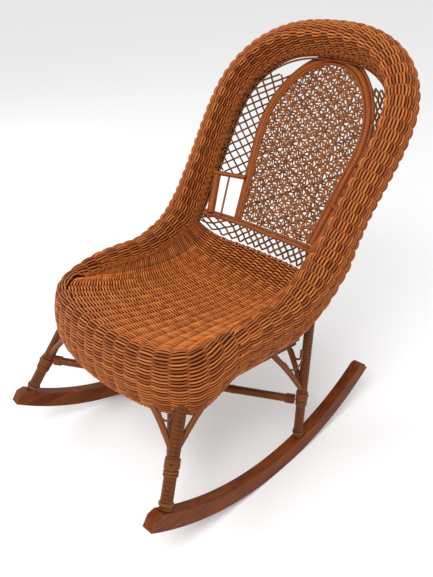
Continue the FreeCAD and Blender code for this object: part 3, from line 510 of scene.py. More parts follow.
def wood_material(name, dark, light):
    """Stained hardwood with its grain along the runners."""
    nodes = Nodes(name)
    place = nodes.add("TexCoord", output="Object")
    stretch = nodes.add("Mapping", {"Vector": place, "Scale": (260.0, 14.0, 260.0)})
    grain = nodes.noise(stretch, 1.0, 6.0, 0.6)
    wear = nodes.noise(place, 30.0, 5.0)
    grain_share = nodes.add("Math", {0: grain, 1: 0.6}, operation="MULTIPLY")
    tone = nodes.add("Math", {0: wear, 1: 0.45, 2: grain_share}, operation="MULTIPLY_ADD")
    roughness = nodes.add("MapRange", {"Value": wear, "To Min": 0.36, "To Max": 0.62})
    return nodes.surface(nodes.ramp(tone, 0.38, dark, 0.66, light), roughness, grain, 0.35, 0.16)


# Painted shade colour for the dark slits between and under the weave's rows.
SLIT_SHADE = (0.03, 0.014, 0.01)
REED = material("reed_weave", (0.21, 0.042, 0.007), (0.6, 0.18, 0.04), shade_colour=SLIT_SHADE)
SEAT_REED = material("reed_seat", (0.42, 0.092, 0.014), (0.86, 0.26, 0.05), shade_colour=SLIT_SHADE)
# painted shade: the stakes are coloured near black for the shadow they lie in behind the rows
STAKE = material("reed_stake_in_shade", (0.02, 0.005, 0.002), (0.06, 0.016, 0.005), rough=0.6)
# painted shade: the dark sheet behind the weaves, standing in for the shadow between the reeds
SHADOW_FILL = material("painted_shadow_fill", (0.2, 0.04, 0.007), (0.5, 0.14, 0.03), rough=0.6,
                  shade_colour=(0.09, 0.07, 0.08))
BRAID = material("reed_braid", (0.22, 0.05, 0.009), (0.5, 0.15, 0.032), island=0.3)
WRAP = material("cane_wrap", (0.075, 0.017, 0.003), (0.18, 0.046, 0.008), rough=0.42, island=0.3, coat=0.06)
BAR = material("cane_bar", (0.19, 0.04, 0.006), (0.42, 0.11, 0.018), rough=0.42, island=0.3, coat=0.06)
CANE = material("split_cane", (0.12, 0.032, 0.007), (0.33, 0.11, 0.028), rough=0.52)
BRACE = material("brace_cane", (0.09, 0.025, 0.006), (0.22, 0.07, 0.018))
FINE = material("fine_cane", (0.08, 0.022, 0.006), (0.2, 0.065, 0.018))
NAIL = material("nail_iron", (0.02, 0.014, 0.01), (0.06, 0.04, 0.03))
WOOD = wood_material("stained_wood", (0.075, 0.014, 0.002), (0.185, 0.042, 0.006))
FRAME_WOOD = wood_material("frame_wood", (0.06, 0.016, 0.004), (0.14, 0.042, 0.01))

# ---------------- woven edge: roll and skirt

SEAT_STAKE_GAP, BACK_STAKE_GAP = 12.6, 9.4
STEPS_PER_STAKE = 6
ROWS, DROPPED_PAIRS = 56, 6
FULL_WIDTH = ((58, 0.0), (112, 1.0))
WEAVE_HEIGHT = ((100, 1.2), (215, 1.7))
REED_SIZE = ((100, 0.86), (215, 0.98))
JITTER, JITTER_KNOTS = 0.16, 40
STAKE_SIZE, STAKE_DEPTH, PAIR_SHIFT = 1.05, 1.3, 1.1
# Depths of the dark sheets of painted shade under the edge and seat weaves.
FILL_FRONT, EDGE_FILL_BACK, SEAT_FILL_BACK = 1.5, 2.5, 2.0
SKIN_NODES = ["apron_front", "roll_side_left", "roll_side_right", "roll_back_left", "roll_back_right",
              "roll_top"]


def stake_table():
    """Distances along the outline, the stake count at each and the total, an even whole number."""
    at = np.linspace(0, OUTLINE_LENGTH, 2000)
    run = Edge(at).run
    gap = smooth_table(((110, SEAT_STAKE_GAP), (230, BACK_STAKE_GAP)), run)
    count = np.concatenate([[0], np.cumsum(np.diff(at) / (0.5 * (gap[1:] + gap[:-1])))])
    total = 2 * round(count[-1] / 2)
    return at, count * total / count[-1], int(total)


STAKE_AT, STAKE_COUNT, STAKES = stake_table()


def row_places(run):
    """Each row's place across the skin at each station, the rows that stop short, and their span."""
    dropped = np.zeros(ROWS, bool)
    for pair in range(DROPPED_PAIRS):
        first = 2 * round((pair + 0.5) * ROWS / DROPPED_PAIRS / 2)
        dropped[first:first + 2] = True
    kept = np.cumsum(~dropped) - 1
    wide = (np.arange(ROWS) + 0.6) / (ROWS + 0.2)
    narrow = (kept + np.where(dropped, 1.1, 0.6)) / (kept[-1] + 1.2)
    widening = smooth_table(FULL_WIDTH, run)
    inside = np.flatnonzero(widening > 0.4)
    span = slice(inside[0], inside[-1] + 1)
    return narrow + (wide - narrow) * widening[:, None], dropped, span


def weave_edge():
    """Rows of round reed, each over one stake and under the next, in three pieces."""
    phase = np.arange(STAKES * STEPS_PER_STAKE) / STEPS_PER_STAKE
    edge = Edge(np.interp(phase, STAKE_COUNT, STAKE_AT))
    places, dropped, short_span = row_places(edge.run)
    points, normals = edge.rows(places)
    height, reed_size = smooth_table(WEAVE_HEIGHT, edge.run), smooth_table(REED_SIZE, edge.run)
    wave = np.cos(np.pi * phase)
    wave = wave * (1.25 - 0.25 * wave * wave)
    # painted shade on the sides of each row, strongest where it crosses a stake
    side_shade = 0.35 + 1.25 * np.abs(wave) ** 1.5
    stations = np.arange(len(phase))
    weavers = [Strands("edge_weavers_" + place) for place in ("inner", "outer", "lower")]
    for row in range(ROWS):
        over = wave if row % 2 else -wave
        across = np.cross(normals[row], units(np.gradient(points[row], axis=0)))
        jitter = np.interp(stations, np.linspace(0, len(phase), JITTER_KNOTS),
                           [rng.uniform(-JITTER, JITTER) for _ in range(JITTER_KNOTS)])
        path = points[row] + normals[row] * (height * (over - 1.0))[:, None] + across * jitter[:, None]
        size = reed_size * (1 + 0.12 * over) * rng.uniform(0.94, 1.05)
        # painted shade where the row goes under a stake
        under_shade = np.clip(0.42 - 0.85 * over, 0, 1) ** 1.2
        span = short_span if dropped[row] else slice(None)
        weavers[row * 3 // ROWS].tube(
            path[span], size[span], closed=not dropped[row], normal=normals[row][span],
            under_shade=under_shade[span], side_shade=side_shade[span])
    for weaver in weavers:
        weaver.piece(REED, "woven_reed", *SKIN_NODES)


def edge_stakes():
    """Pairs of stakes from the roll's inner edge round to its border."""
    stakes = Strands("edge_stakes")
    edge = Edge(np.interp(np.arange(STAKES), STAKE_COUNT, STAKE_AT))
    points, normals = edge.rows(np.linspace(0.03, 0.99, 26))
    for k in range(STAKES):
        beside = units(np.cross(normals[:, k], np.gradient(points[:, k], axis=0)))
        for shift in (-PAIR_SHIFT, PAIR_SHIFT):
            line = points[:, k] - normals[:, k] * STAKE_DEPTH + beside * shift
            stakes.tube(line, STAKE_SIZE, normal=normals[:, k])
    stakes.piece(STAKE, "woven_reed", *SKIN_NODES)


def shadow_sheet(name, points, normals, back, nodes, closed=False):
    """A dark sheet of painted shade behind the rows that show, standing in for the shadow between the reeds.
    """
    layer = Strands(name)
    layer.sheet(points - normals * FILL_FRONT, points - normals * back, closed=closed)
    layer.piece(SHADOW_FILL, "woven_reed", *nodes)


# Painted shade: a dark sheet under the roll's weave.
def edge_shadow_fill():
    edge = Edge(np.arange(0, OUTLINE_LENGTH - 1, 2.5))
    points, normals = (part.transpose(1, 0, 2) for part in edge.rows(np.linspace(0.015, 0.985, 70)))
    shadow_sheet("edge_shadow_fill", points, normals, EDGE_FILL_BACK, SKIN_NODES, closed=True)


weave_edge()
edge_stakes()
edge_shadow_fill()

# ---------------- braids and border rods

BRAID_STRANDS = 3
BRAID_START_RUN = 57.0
BRAID_PAST, BRAID_LIFT, BRAID_FACES = 0.6, 1.2, -4.0
BRAID_CORE = ((1.2, -0.2), (2.8, 0.4), (4.4, 1.0), (5.8, 1.8))
HIP = distance_at_run(200.0)


def braid(target, line, normal, width, thick, period, radius, reeds=1):
    """A flat plait along a line: strands of side-by-side reeds swing across and over each other."""
    side = np.cross(units(np.gradient(line, axis=0)), normal)
    along = lengths_along(line)
    for k in range(BRAID_STRANDS):
        turn = 2 * math.pi * (along / period + k / BRAID_STRANDS)
        path = line + side * (width * np.sin(turn))[:, None] + normal * (thick * np.sin(2 * turn))[:, None]
        for reed in range(reeds):
            beside_it = side * (1.75 * radius * (reed - (reeds - 1) / 2))
            # painted shade where each strand passes under the others, and on its sides
            target.tube(path + beside_it, radius, normal=normal, flat=0.75,
                        under_shade=0.3 - 0.3 * np.sin(2 * turn), side_shade=0.9)


def inner_braid(side_name, side):
    """The plait on the roll's inner edge, over a core of straight reeds."""
    plait = Strands("inner_braid_" + side_name + "_plait")
    edge = Edge(np.arange(distance_at_run(BRAID_START_RUN), OUTLINE_LENGTH / 2 + 0.5, 1.3) * side)
    line, facing = edge.inner_edge(BRAID_PAST, BRAID_LIFT)[0], edge.inner_edge(BRAID_FACES)[1]
    braid(plait, line, facing, width=2.0, thick=0.8, period=19.0, radius=0.8, reeds=3)
    for beyond, raised in BRAID_CORE:
        core, core_normal = edge.inner_edge(beyond, raised)
        # painted shade on the core reeds' sides
        plait.tube(core, 0.95, normal=core_normal, side_shade=0.8)
    plait.piece(BRAID, "woven_reed", "inner_braid_" + side_name)


def border(name, first, last):
    """The thin plait that closes the skin's outer edge between two distances."""
    plait = Strands(name + "_border_plait")
    line, normal = Edge(np.arange(first, last, 1.5)).border_line(0.6)
    braid(plait, line, normal, width=1.2, thick=1.0, period=11.0, radius=0.95)
    plait.piece(REED, "reed", name + "_border_rod")


for side_name, side in SIDES:
    inner_braid(side_name, side)
border("apron", -HIP, HIP)
border("rear", HIP + 2, OUTLINE_LENGTH - HIP - 2)

# ---------------- seat

SEAT_SIDE_RUNS = 72.0, 200.0
SEAT_MIDDLE_Z = ((0.0, 166.0), (0.25, 156.0), (0.55, 149.5), (0.8, 150.0), (0.92, 158.0), (1.0, 172.0))
SEAT_REAR_Y = 219.8
BOW_POWER, WALL_POWER, FRONT_FADE = 3.4, 5, 4
BESIDE = np.linspace(0, 1, 41)
SIDE_RIM = Edge(np.array([distance_at_run(r) for r in np.interp(BESIDE, (0, 1), SEAT_SIDE_RUNS)])).seat_rim()
AHEAD = np.linspace(-1, 1, 161)
FRONT_RIM = Edge(AHEAD * distance_at_run(SEAT_SIDE_RUNS[0])).seat_rim()


def eased(table, at):
    """Reads a table of (place, value) rows, rounded over at its corners."""
    places, values = [r[0] for r in table], [r[1] for r in table]
    spots = [np.clip(at + 0.03 * k, places[0], places[-1]) for k in (-2, -1, 0, 1, 2)]
    return sum(np.interp(spot, places, values) for spot in spots) / len(spots)


def seat_bowl(across, back):
    """The seat without its front edge: walls at the sides, a dip in the middle."""
    side = [np.interp(back, BESIDE, SIDE_RIM[:, k]) for k in range(3)]
    front_y = FRONT_RIM[len(FRONT_RIM) // 2, 1]
    middle_y = front_y + (SEAT_REAR_Y - front_y) * back
    middle_z = eased(SEAT_MIDDLE_Z, back)
    bow = np.abs(across) ** BOW_POWER
    wall = np.abs(across) ** (WALL_POWER + back)
    return np.stack([across * side[0], middle_y + (side[1] - middle_y) * bow,
                     middle_z + (side[2] - middle_z) * wall], axis=-1)


def seat_surface(across, back):
    """Points of the seat for arrays of across (-1 to 1) and back (0 to 1)."""
    across, back = np.broadcast_arrays(np.clip(across, -1.0, 1.0), np.clip(back, 0.0, 1.0))
    front_gap = interpolated(across, AHEAD, FRONT_RIM) - seat_bowl(across, np.zeros_like(across))
    return seat_bowl(across, back) + front_gap * ((1 - back) ** FRONT_FADE)[..., None]


def seat_normals(across, back):
    step = 0.01
    a = seat_surface(across + step, back) - seat_surface(across - step, back)
    b = seat_surface(across, back + step) - seat_surface(across, back - step)
    return units(np.cross(a, b))


SEAT_ROWS, SEAT_STAKES = 132, 19
STAKE_REACH = 0.88
SEAT_STAKE_SIZE, SEAT_PAIR_SHIFT = 0.9, 0.011


def weave_seat():
    """Rows of fine reed across the seat; on the side walls they stand close and nearly flat, every other row
    painted dark in shade as if deep, the rest lighter.
    """
    flat_steps = np.linspace(-STAKE_REACH, STAKE_REACH, (SEAT_STAKES - 1) * 5 + 1)
    wall_steps = np.linspace(STAKE_REACH, 1.0, 9)[1:]
    across = np.concatenate([-wall_steps[::-1], flat_steps, wall_steps])
    phase = (across + STAKE_REACH) / (2 * STAKE_REACH) * (SEAT_STAKES - 1)
    fade = np.clip((1.0 - np.abs(across)) / (1 - STAKE_REACH), 0, 1)
    fade = np.where(np.abs(across) < STAKE_REACH, 1.0, fade ** 2 * 0.3)
    on_wall = 1 - np.clip(fade * 3, 0, 1)
    weavers = [Strands("seat_weavers_front"), Strands("seat_weavers_rear")]
    for row in range(SEAT_ROWS):
        back = np.full(len(across), (row + 0.5) / SEAT_ROWS)
        over = (1 if row % 2 else -1) * np.cos(np.pi * phase)
        normal = seat_normals(across, back)
        path = seat_surface(across, back) + normal * (over * fade - 1.0)[:, None]
        # painted shade: on the walls every other row is painted dark as if deep; elsewhere rows are shaded
        # where they go under and on their sides
        wall_row_shade = rng.uniform(0.75, 1.0) if row % 2 else rng.uniform(0.0, 0.5)
        under_shade = np.clip(0.5 - 1.1 * over, 0, 1) * (1 - on_wall) + on_wall * wall_row_shade
        size = (0.7 + 0.22 * np.clip(over, -0.6, 1) * fade) * rng.uniform(0.92, 1.08)
        weavers[row * 2 // SEAT_ROWS].tube(path, size, normal=normal, under_shade=under_shade,
                                           side_shade=0.9 + 0.9 * np.abs(over) ** 1.5)
    for weaver in weavers:
        weaver.piece(SEAT_REED, "woven_reed", "seat_weave")


def seat_stakes():
    stakes = Strands("seat_stakes")
    back = np.linspace(0.0, 1.0, 60)
    for k in range(SEAT_STAKES):
        place = -STAKE_REACH + 2 * STAKE_REACH * k / (SEAT_STAKES - 1)
        for shift in (-SEAT_PAIR_SHIFT, SEAT_PAIR_SHIFT):
            spot = np.full(len(back), place) + shift
            path = seat_surface(spot, back) - seat_normals(spot, back) * SEAT_STAKE_SIZE
            stakes.tube(path, SEAT_STAKE_SIZE)
    stakes.piece(STAKE, "woven_reed", "seat_weave")


# Painted shade: a dark sheet under the seat's weave.
def seat_shadow_fill():
    across, back = np.meshgrid(np.linspace(-0.99, 0.99, 90), np.linspace(0.01, 0.99, 80))
    points, normals = seat_surface(across, back), seat_normals(across, back)
    shadow_sheet("seat_shadow_fill", points, normals, SEAT_FILL_BACK, ["seat_weave"])


weave_seat()
seat_stakes()
seat_shadow_fill()

# ---------------- sticks, wraps and bindings

def wrapped_pole(target, path, radius, pitch=3.4, ridge=0.28, sides=18, lay=1):
    """A pole wound with flat cane: each turn stands proud and the seam runs round as a helix, painted in
    shade.
    """
    path = resample(path, 0.85)
    tangent = units(np.gradient(path, axis=0))
    normal = carried_normals(tangent)
    side = np.cross(tangent, normal)
    along = lengths_along(path)
    angle = np.linspace(0, 2 * math.pi, sides, endpoint=False)
    turn = (along[:, None] / pitch + lay * angle[None, :] / (2 * math.pi)) % 1.0
    shape = 1 - np.abs(2 * turn - 1) ** 4
    size = radius - ridge + ridge * shape
    # painted shade in the seam between turns
    target.rings(ring_points(path, normal, side, angle, size), along, shade_paint=(1 - shape) * 0.9)


def coil(target, start, end, radius, wire, turns=None):
    """A cane or reed binding wound round a pole."""
    length = np.linalg.norm(end - start)
    way = unit(end - start)
    guide = np.array([1.0, 0, 0]) if abs(way[0]) < 0.9 else np.array([0, 1.0, 0])
    u = unit(np.cross(way, guide))
    v = np.cross(way, u)
    turns = turns or max(length / (wire * 1.9), 1.0)
    t = np.linspace(0, 1, int(turns * 16) + 1)
    angle = 2 * math.pi * turns * t
    path = (start + way * (t * length)[:, None] + u * (np.cos(angle) * radius)[:, None]
            + v * (np.sin(angle) * radius)[:, None])
    target.tube(path, wire)


def knuckled_stick(target, path, radius, knuckle_every=34.0, first=11.0, sides=10):
    """A rattan or bamboo stick with the low rings of its joints."""
    path = resample(path, 1.2)
    beat = np.abs((lengths_along(path) - first + knuckle_every / 2) % knuckle_every - knuckle_every / 2)
    target.tube(path, radius * (1 + 0.09 * np.exp(-(beat / 1.3) ** 2)), sides=sides)


def mirrored(point, side):
    return np.array([point[0] * side, point[1], point[2]], float)


# ---------------- legs, braces and stretchers

FRAME_BOTTOM = 124.0
ROCKER_HEIGHT = 15.6


def rocker_top(y):
    inner = HUB[2] - ROCKER_HEIGHT
    return HUB[2] - math.sqrt(inner ** 2 - (y - HUB[1]) ** 2)


LEG_RADIUS = {"front": 5.4, "rear": 4.5}
LEG_TOP = {"front": (86.6, 37.5, FRAME_BOTTOM), "rear": (95.6, 181.5, 170.0)}
LEG_FOOT = {"front": (108.5, 0.0, rocker_top(0.0)), "rear": (98.2, 170.8, rocker_top(170.8))}
LEG_SINK = 0.6
# Height at which the braces meet each leg, and where each brace reaches the seat frame.
BINDINGS = {
    "front": (86.0, {"front": (60, 22), "side": (91.5, 70)}),
    "rear": (72.0, {"rear": (72, 172), "side": (90, 138)}),
}
BINDING_BELOW, BINDING_HALF, KNOT_DROPS, KNOT_HALF = 6, 4.3, (-6.5, -9.0), 0.8
FOOT_RING = 4.2, 6.4
BRACE_RADIUS, BRACE_BULGE = 2.7, 1.2
CURL_RADIUS, CURL_GAP, CURL_SHARE = 0.95, 0.2, 0.62


def on_leg(end_name, side, z):
    foot, top = mirrored(LEG_FOOT[end_name], side), mirrored(LEG_TOP[end_name], side)
    return foot + (top - foot) * ((z - foot[2]) / (top[2] - foot[2]))


def add_curl(curls, low, aim, slope, reach, leg_radius):
    """A small hoop of reed in the corner between a leg and a brace, its ends laid along both."""
    leg_spot, brace_spot = low + slope * (reach * CURL_SHARE), low + aim * (reach * CURL_SHARE)
    across = unit(brace_spot - leg_spot)
    span = np.linalg.norm(brace_spot - leg_spot) - leg_radius - BRACE_RADIUS
    span = span - 2 * (CURL_RADIUS + CURL_GAP)
    hub = leg_spot + across * (leg_radius + CURL_RADIUS + CURL_GAP + span / 2)
    down = unit(np.cross(across, np.cross(slope, across)))
    down = -down if down[2] > 0 else down
    arc = [hub + across * (math.cos(a) * span / 2) + down * (math.sin(a) * span / 2)
           for a in np.linspace(math.pi, 0, 13)]
    by_leg = [arc[0] + slope * 7.0, arc[0] + slope * 3.0]
    by_brace = [arc[-1] + aim * 3.0, arc[-1] + aim * 6.5]
    curls.tube(resample(by_leg + arc + by_brace, 0.8), CURL_RADIUS, sides=8)


def leg_set(end_name, side_name, side):
    """One leg with its wrap, binding, tack, foot ring, two braces and their curls."""
    place = "%s_%s" % (end_name, side_name)
    bound_z, tops = BINDINGS[end_name]
    leg_radius = LEG_RADIUS[end_name]
    foot, top = mirrored(LEG_FOOT[end_name], side), mirrored(LEG_TOP[end_name], side)
    slope = unit(top - foot)
    leg = Strands("leg_wrap_" + place)
    wrapped_pole(leg, [foot - slope * LEG_SINK, top], leg_radius, lay=side)
    leg.piece(WRAP, "wrapped_pole", "leg_" + place)

    middle = on_leg(end_name, side, bound_z - BINDING_BELOW)
    binding = Strands("binding_coil_" + place)
    half = slope * BINDING_HALF
    coil(binding, middle - half, middle + half, leg_radius + 0.45, wire=0.85)
    for drop in KNOT_DROPS:
        knot = middle + slope * drop
        half = slope * KNOT_HALF
        coil(binding, knot - half, knot + half, leg_radius + 0.35, wire=0.7, turns=2)
    binding.piece(BRACE, "cane_binding", "binding_" + place)
    outward = np.array([side * 0.6, -0.8 if end_name == "front" else 0.8, 0.0])
    outward = unit(outward - slope * (outward @ slope))
    tack = middle + outward * (leg_radius + 1.1)
    tacks.tube([tack - outward, tack + outward * 0.9], CURL_RADIUS, sides=10)
    coil(foot_rings, foot + slope * FOOT_RING[0], foot + slope * FOOT_RING[1], leg_radius + 0.3,
         wire=0.75, turns=2.5)

    curls = Strands("curl_reeds_" + place)
    low = on_leg(end_name, side, bound_z)
    for way_name, (brace_x, brace_y) in tops.items():
        frame_spot = np.array([brace_x * side, brace_y, FRAME_BOTTOM], float)
        aim = unit(frame_spot - low)
        bulge = unit(np.cross(aim, np.cross(slope, aim))) * BRACE_BULGE
        t = np.linspace(0, 1, 12)[:, None]
        start = low + aim * (leg_radius * 0.9)
        brace = Strands("brace_stick_%s_%s" % (place, way_name))
        knuckled_stick(brace, start + (frame_spot - start) * t + bulge * np.sin(np.pi * t), BRACE_RADIUS,
                       first=rng.uniform(8, 20))
        brace.piece(BRACE, "reed", "brace_%s_%s" % (place, way_name))
        add_curl(curls, low, aim, slope, np.linalg.norm(frame_spot - low), leg_radius)
    curls.piece(BRACE, "reed", "curls_" + place)


foot_rings, tacks = Strands("foot_ring_coils"), Strands("tack_heads")
for end_name in ("front", "rear"):
    for side_name, side in SIDES:
        leg_set(end_name, side_name, side)
foot_rings.piece(BRACE, "wrapped_pole", "foot_rings")
tacks.piece(NAIL, "nail", "binding_tacks")

STRETCHER_RADIUS, STRETCHER_GAP = 3.9, 0.3
STRETCHER_FRONT_Z, STRETCHER_REAR_Z = 82.0, 61.0
STRETCHER_WRAP = 0.6, 8.6


def stretcher(name, start_side, drop):
    """A diagonal stretcher from a front leg to the opposite rear leg, with a wrap at each end."""
    start = on_leg("front", start_side, STRETCHER_FRONT_Z - drop)
    end = on_leg("rear", -start_side, STRETCHER_REAR_Z - drop)
    way = unit(end - start)
    first, last = start + way * (LEG_RADIUS["front"] + 0.8), end - way * (LEG_RADIUS["rear"] + 1.8)
    pole = Strands("stretcher_pole_" + name)
    knuckled_stick(pole, [first, last], STRETCHER_RADIUS, knuckle_every=71.0, first=38.0, sides=16)
    pole.piece(WRAP, "wrapped_pole", "stretcher_" + name)
    for base, inward in ((first, way), (last, -way)):
        coil(stretcher_wraps, base + inward * STRETCHER_WRAP[0], base + inward * STRETCHER_WRAP[1],
             STRETCHER_RADIUS + 0.35, wire=0.75)


stretcher_wraps = Strands("stretcher_wrap_coils")
stretcher("upper", -1, 0.0)
stretcher("lower", 1, 2 * STRETCHER_RADIUS + STRETCHER_GAP)
stretcher_wraps.piece(BRACE, "wrapped_pole", "stretcher_end_wraps")

# ---------------- back: arch and cane panel

PANEL_FOOT = np.array([0.0, 230.5, 189.4])
PANEL_SLOPE = math.radians(62.3)
PANEL_UP = np.array([0.0, math.cos(PANEL_SLOPE), math.sin(PANEL_SLOPE)])
PANEL_OUT = np.array([0.0, -math.sin(PANEL_SLOPE), math.cos(PANEL_SLOPE)])
ARCH_FOOT, ARCH_RISE, ARCH_ROD = 50.3, 101.6, 4.2
SHOULDER, SHOULDER_PAST, CROWN = 84.0, 20.0, 54.0
SPLAY = (math.atan2(ARCH_RISE, ARCH_FOOT + SHOULDER_PAST)
         - math.acos(SHOULDER / math.hypot(ARCH_FOOT + SHOULDER_PAST, ARCH_RISE)))
MEET = math.acos(SHOULDER_PAST / (SHOULDER - CROWN))
CROWN_RISE = ARCH_RISE + (SHOULDER - CROWN) * math.sin(MEET)
# The arch's rods: how far each is grown from the arch line, its radius and its lift off the panel.
ARCH_RODS = ((0.0, 3.0, 0.0), (-4.3, 1.6, 0.8), (4.3, 1.6, -0.2))
ROD_WRAP = {"pitch": 2.6, "ridge": 0.18, "sides": 10}


def on_panel(x, v, lift=0.0):
    """Points of the panel's plane: x across, v up it and lift off its front."""
    x, v, lift = np.broadcast_arrays(np.asarray(x, float), np.asarray(v, float), np.asarray(lift, float))
    base = np.stack([x, np.zeros_like(x), np.zeros_like(x)], axis=-1)
    return PANEL_FOOT + base + PANEL_UP * v[..., None] + PANEL_OUT * lift[..., None]


def arch_line(grow):
    """Outline of the arch, grown outwards: side line, shoulder, crown, shoulder and side line."""
    angle = np.linspace(-SPLAY, MEET, 30)
    side_x = (SHOULDER + grow) * np.cos(angle) - SHOULDER_PAST
    side_v = ARCH_RISE + (SHOULDER + grow) * np.sin(angle)
    side_x = np.concatenate([[side_x[0] - side_v[0] * math.tan(SPLAY)], side_x])
    side_v = np.concatenate([[0.0], side_v])
    angle = np.linspace(MEET, math.pi - MEET, 30)[1:-1]
    x = np.concatenate([side_x, (CROWN + grow) * np.cos(angle), -side_x[::-1]])
    v = np.concatenate([side_v, CROWN_RISE + (CROWN + grow) * np.sin(angle), side_v[::-1]])
    return x, v


def half_width(v, grow, **beyond):
    """Half of the grown arch's width at a height up the panel."""
    x, height = arch_line(grow)
    half = len(x) // 2
    return np.interp(v, height[:half], x[:half], **beyond)


def arch_frame():
    arch = Strands("arch_rods")
    for grow, radius, lift in ARCH_RODS:
        x, v = arch_line(grow)
        wrapped_pole(arch, resample(on_panel(x, v, lift), 1.2), radius, **ROD_WRAP)
    arch.piece(BAR, "reed", "arch_frame")


CANE_PITCH, CANE_SIZE = 8.4, 0.95
CANE_LINES, CANE_REACH, CANE_STEP = 19, 150, 1.5
CANE_MIDDLE = np.array([0, 90.0])
CROSSING, WANDER = CANE_PITCH * 0.577, CANE_PITCH * 1.155
CANE_MARGIN = 0.4


def cane_line(cane, direction, line_number, drift, pair):
    """One of a pair of strands, woven over and under the rest and cut where it leaves the arch."""
    heading = math.radians(90 + 60 * direction)
    way = np.array([math.cos(heading), math.sin(heading)])
    across = np.array([-way[1], way[0]])
    offset = line_number * CANE_PITCH + drift + pair * rng.uniform(0.9, 1.25)
    t = np.arange(-CANE_REACH, CANE_REACH, CANE_STEP)
    flat = CANE_MIDDLE + across * offset + way * t[:, None]
    room = np.minimum(half_width(flat[:, 1], -ARCH_ROD, right=-1.0) - np.abs(flat[:, 0]), flat[:, 1] - 1.0)
    inside = room > -CANE_MARGIN
    lift = 0.5 * np.sin(math.pi * t / CROSSING + direction * 2.1 + line_number) * pair
    wander = 0.75 * np.sin(2 * math.pi * t / WANDER + line_number * math.pi)
    wander = wander + 0.45 * np.sin(t / rng.uniform(3.0, 5.0) + rng.uniform(0, 6))
    flat = flat + across * (wander * pair)[:, None]
    ends_of_runs = np.flatnonzero(np.diff(np.concatenate([[0], inside.astype(int), [0]])))
    for low, high in ends_of_runs.reshape(-1, 2):
        if high - low > 3:
            line = on_panel(flat[low:high, 0], flat[low:high, 1], lift[low:high])
            out = np.broadcast_to(PANEL_OUT, line.shape)
            # painted shade on the sides of each cane strand
            cane.tube(line, CANE_SIZE * rng.uniform(0.85, 1.15), sides=5, normal=out, flat=0.55, side_shade=0.35)


def cane_panel():
    """Pairs of split-cane strands in three directions."""
    cane = Strands("cane_strands")
    for direction in range(3):
        for line_number in range(-CANE_LINES, CANE_LINES + 1):
            drift = rng.uniform(-0.7, 0.7)
            for pair in (-1.0, 1.0):
                cane_line(cane, direction, line_number, drift, pair)
    cane.piece(CANE, "split_cane", "cane_panel")


arch_frame()
cane_panel()

# ---------------- back: bars, posts and lattices

CROSSBAR_END, CROSSBAR_KNEE = np.array([75.5, 203.5, 197.0]), np.array([50.0, 229.0, 186.5])
SHORT_BAR_OUT, SHORT_BAR_IN = np.array([85.3, 227.7, 232.6]), np.array([57.5, 247.0, 229.0])
SIDE_POST_FOOT, SIDE_POST_HEAD = np.array([70.2, 208.5, 195.0]), np.array([82.6, 229.5, 229.5])
CROSSBAR_RISES, CROSSBAR_ROD = (-1.7, 1.9), 1.85
SHORT_BAR_ROD, SIDE_POST_ROD, SPINDLE_ROD = 2.6, 4.2, 1.15
LATTICE_START, LATTICE_END, LATTICE_ROWS = 40.5, 157.0, 14
LATTICE_ABOVE_BEND = 33
LATTICE_GAP, LATTICE_INSET, LATTICE_REED = 0.3, 2.0, 0.95
STRIP_REACH, STRIP_ROWS, STRIP_REED = 1.06, 27, 1.0
STRIP_ON_SEAT, STRIP_ON_BAR = 0.93, 0.97
STRIP_LIFT = np.array([0, 1.2, 1.0])


def lattice(target, rows, cells_along, cells_across, radius):
    """Crossing diagonals over a sheet given by rows of (one side, other side)."""
    starts, ends = (np.array([row[k] for row in rows], float) for k in (0, 1))
    place = np.linspace(0, 1, len(rows))

    def at(along, over):
        a, b = interpolated(along, place, starts), interpolated(along, place, ends)
        return a + (b - a) * over[:, None]

    normal = unit(np.cross(ends[len(rows) // 2] - starts[len(rows) // 2], starts[-1] - starts[0]))
    lean = cells_across / cells_along
    over = np.linspace(0, 1, 24)
    for number in range(-cells_across, cells_along + 1):
        for direction in (1, -1):
            along = number / cells_along + (over if direction > 0 else 1 - over) * lean
            keep = (along >= -0.001) & (along <= 1.001)
            if keep.sum() >= 4:
                beat = over[keep] * math.pi * cells_across * 2 + number * math.pi
                weave = 0.55 * np.cos(beat) * direction
                target.tube(at(along[keep], over[keep]) + normal * weave[:, None], radius)


def crossbar():
    """Two wrapped rods, one over the other, with their ends bent forward."""
    rods = Strands("crossbar_rods")
    points = [mirrored(CROSSBAR_END, -1), mirrored(CROSSBAR_KNEE, -1), CROSSBAR_KNEE, CROSSBAR_END]
    for rise in CROSSBAR_RISES:
        line = smooth_path([p + PANEL_UP * rise for p in points])
        wrapped_pole(rods, line, CROSSBAR_ROD, **ROD_WRAP)
    rods.piece(BAR, "reed", "lower_crossbar")


def wrapped_bar(name, side_name, ends, radius, sides):
    bar = Strands(name + "_wrap_" + side_name)
    wrapped_pole(bar, ends, radius, pitch=2.6, ridge=0.2, sides=sides)
    bar.piece(BAR, "reed", name + "_" + side_name)


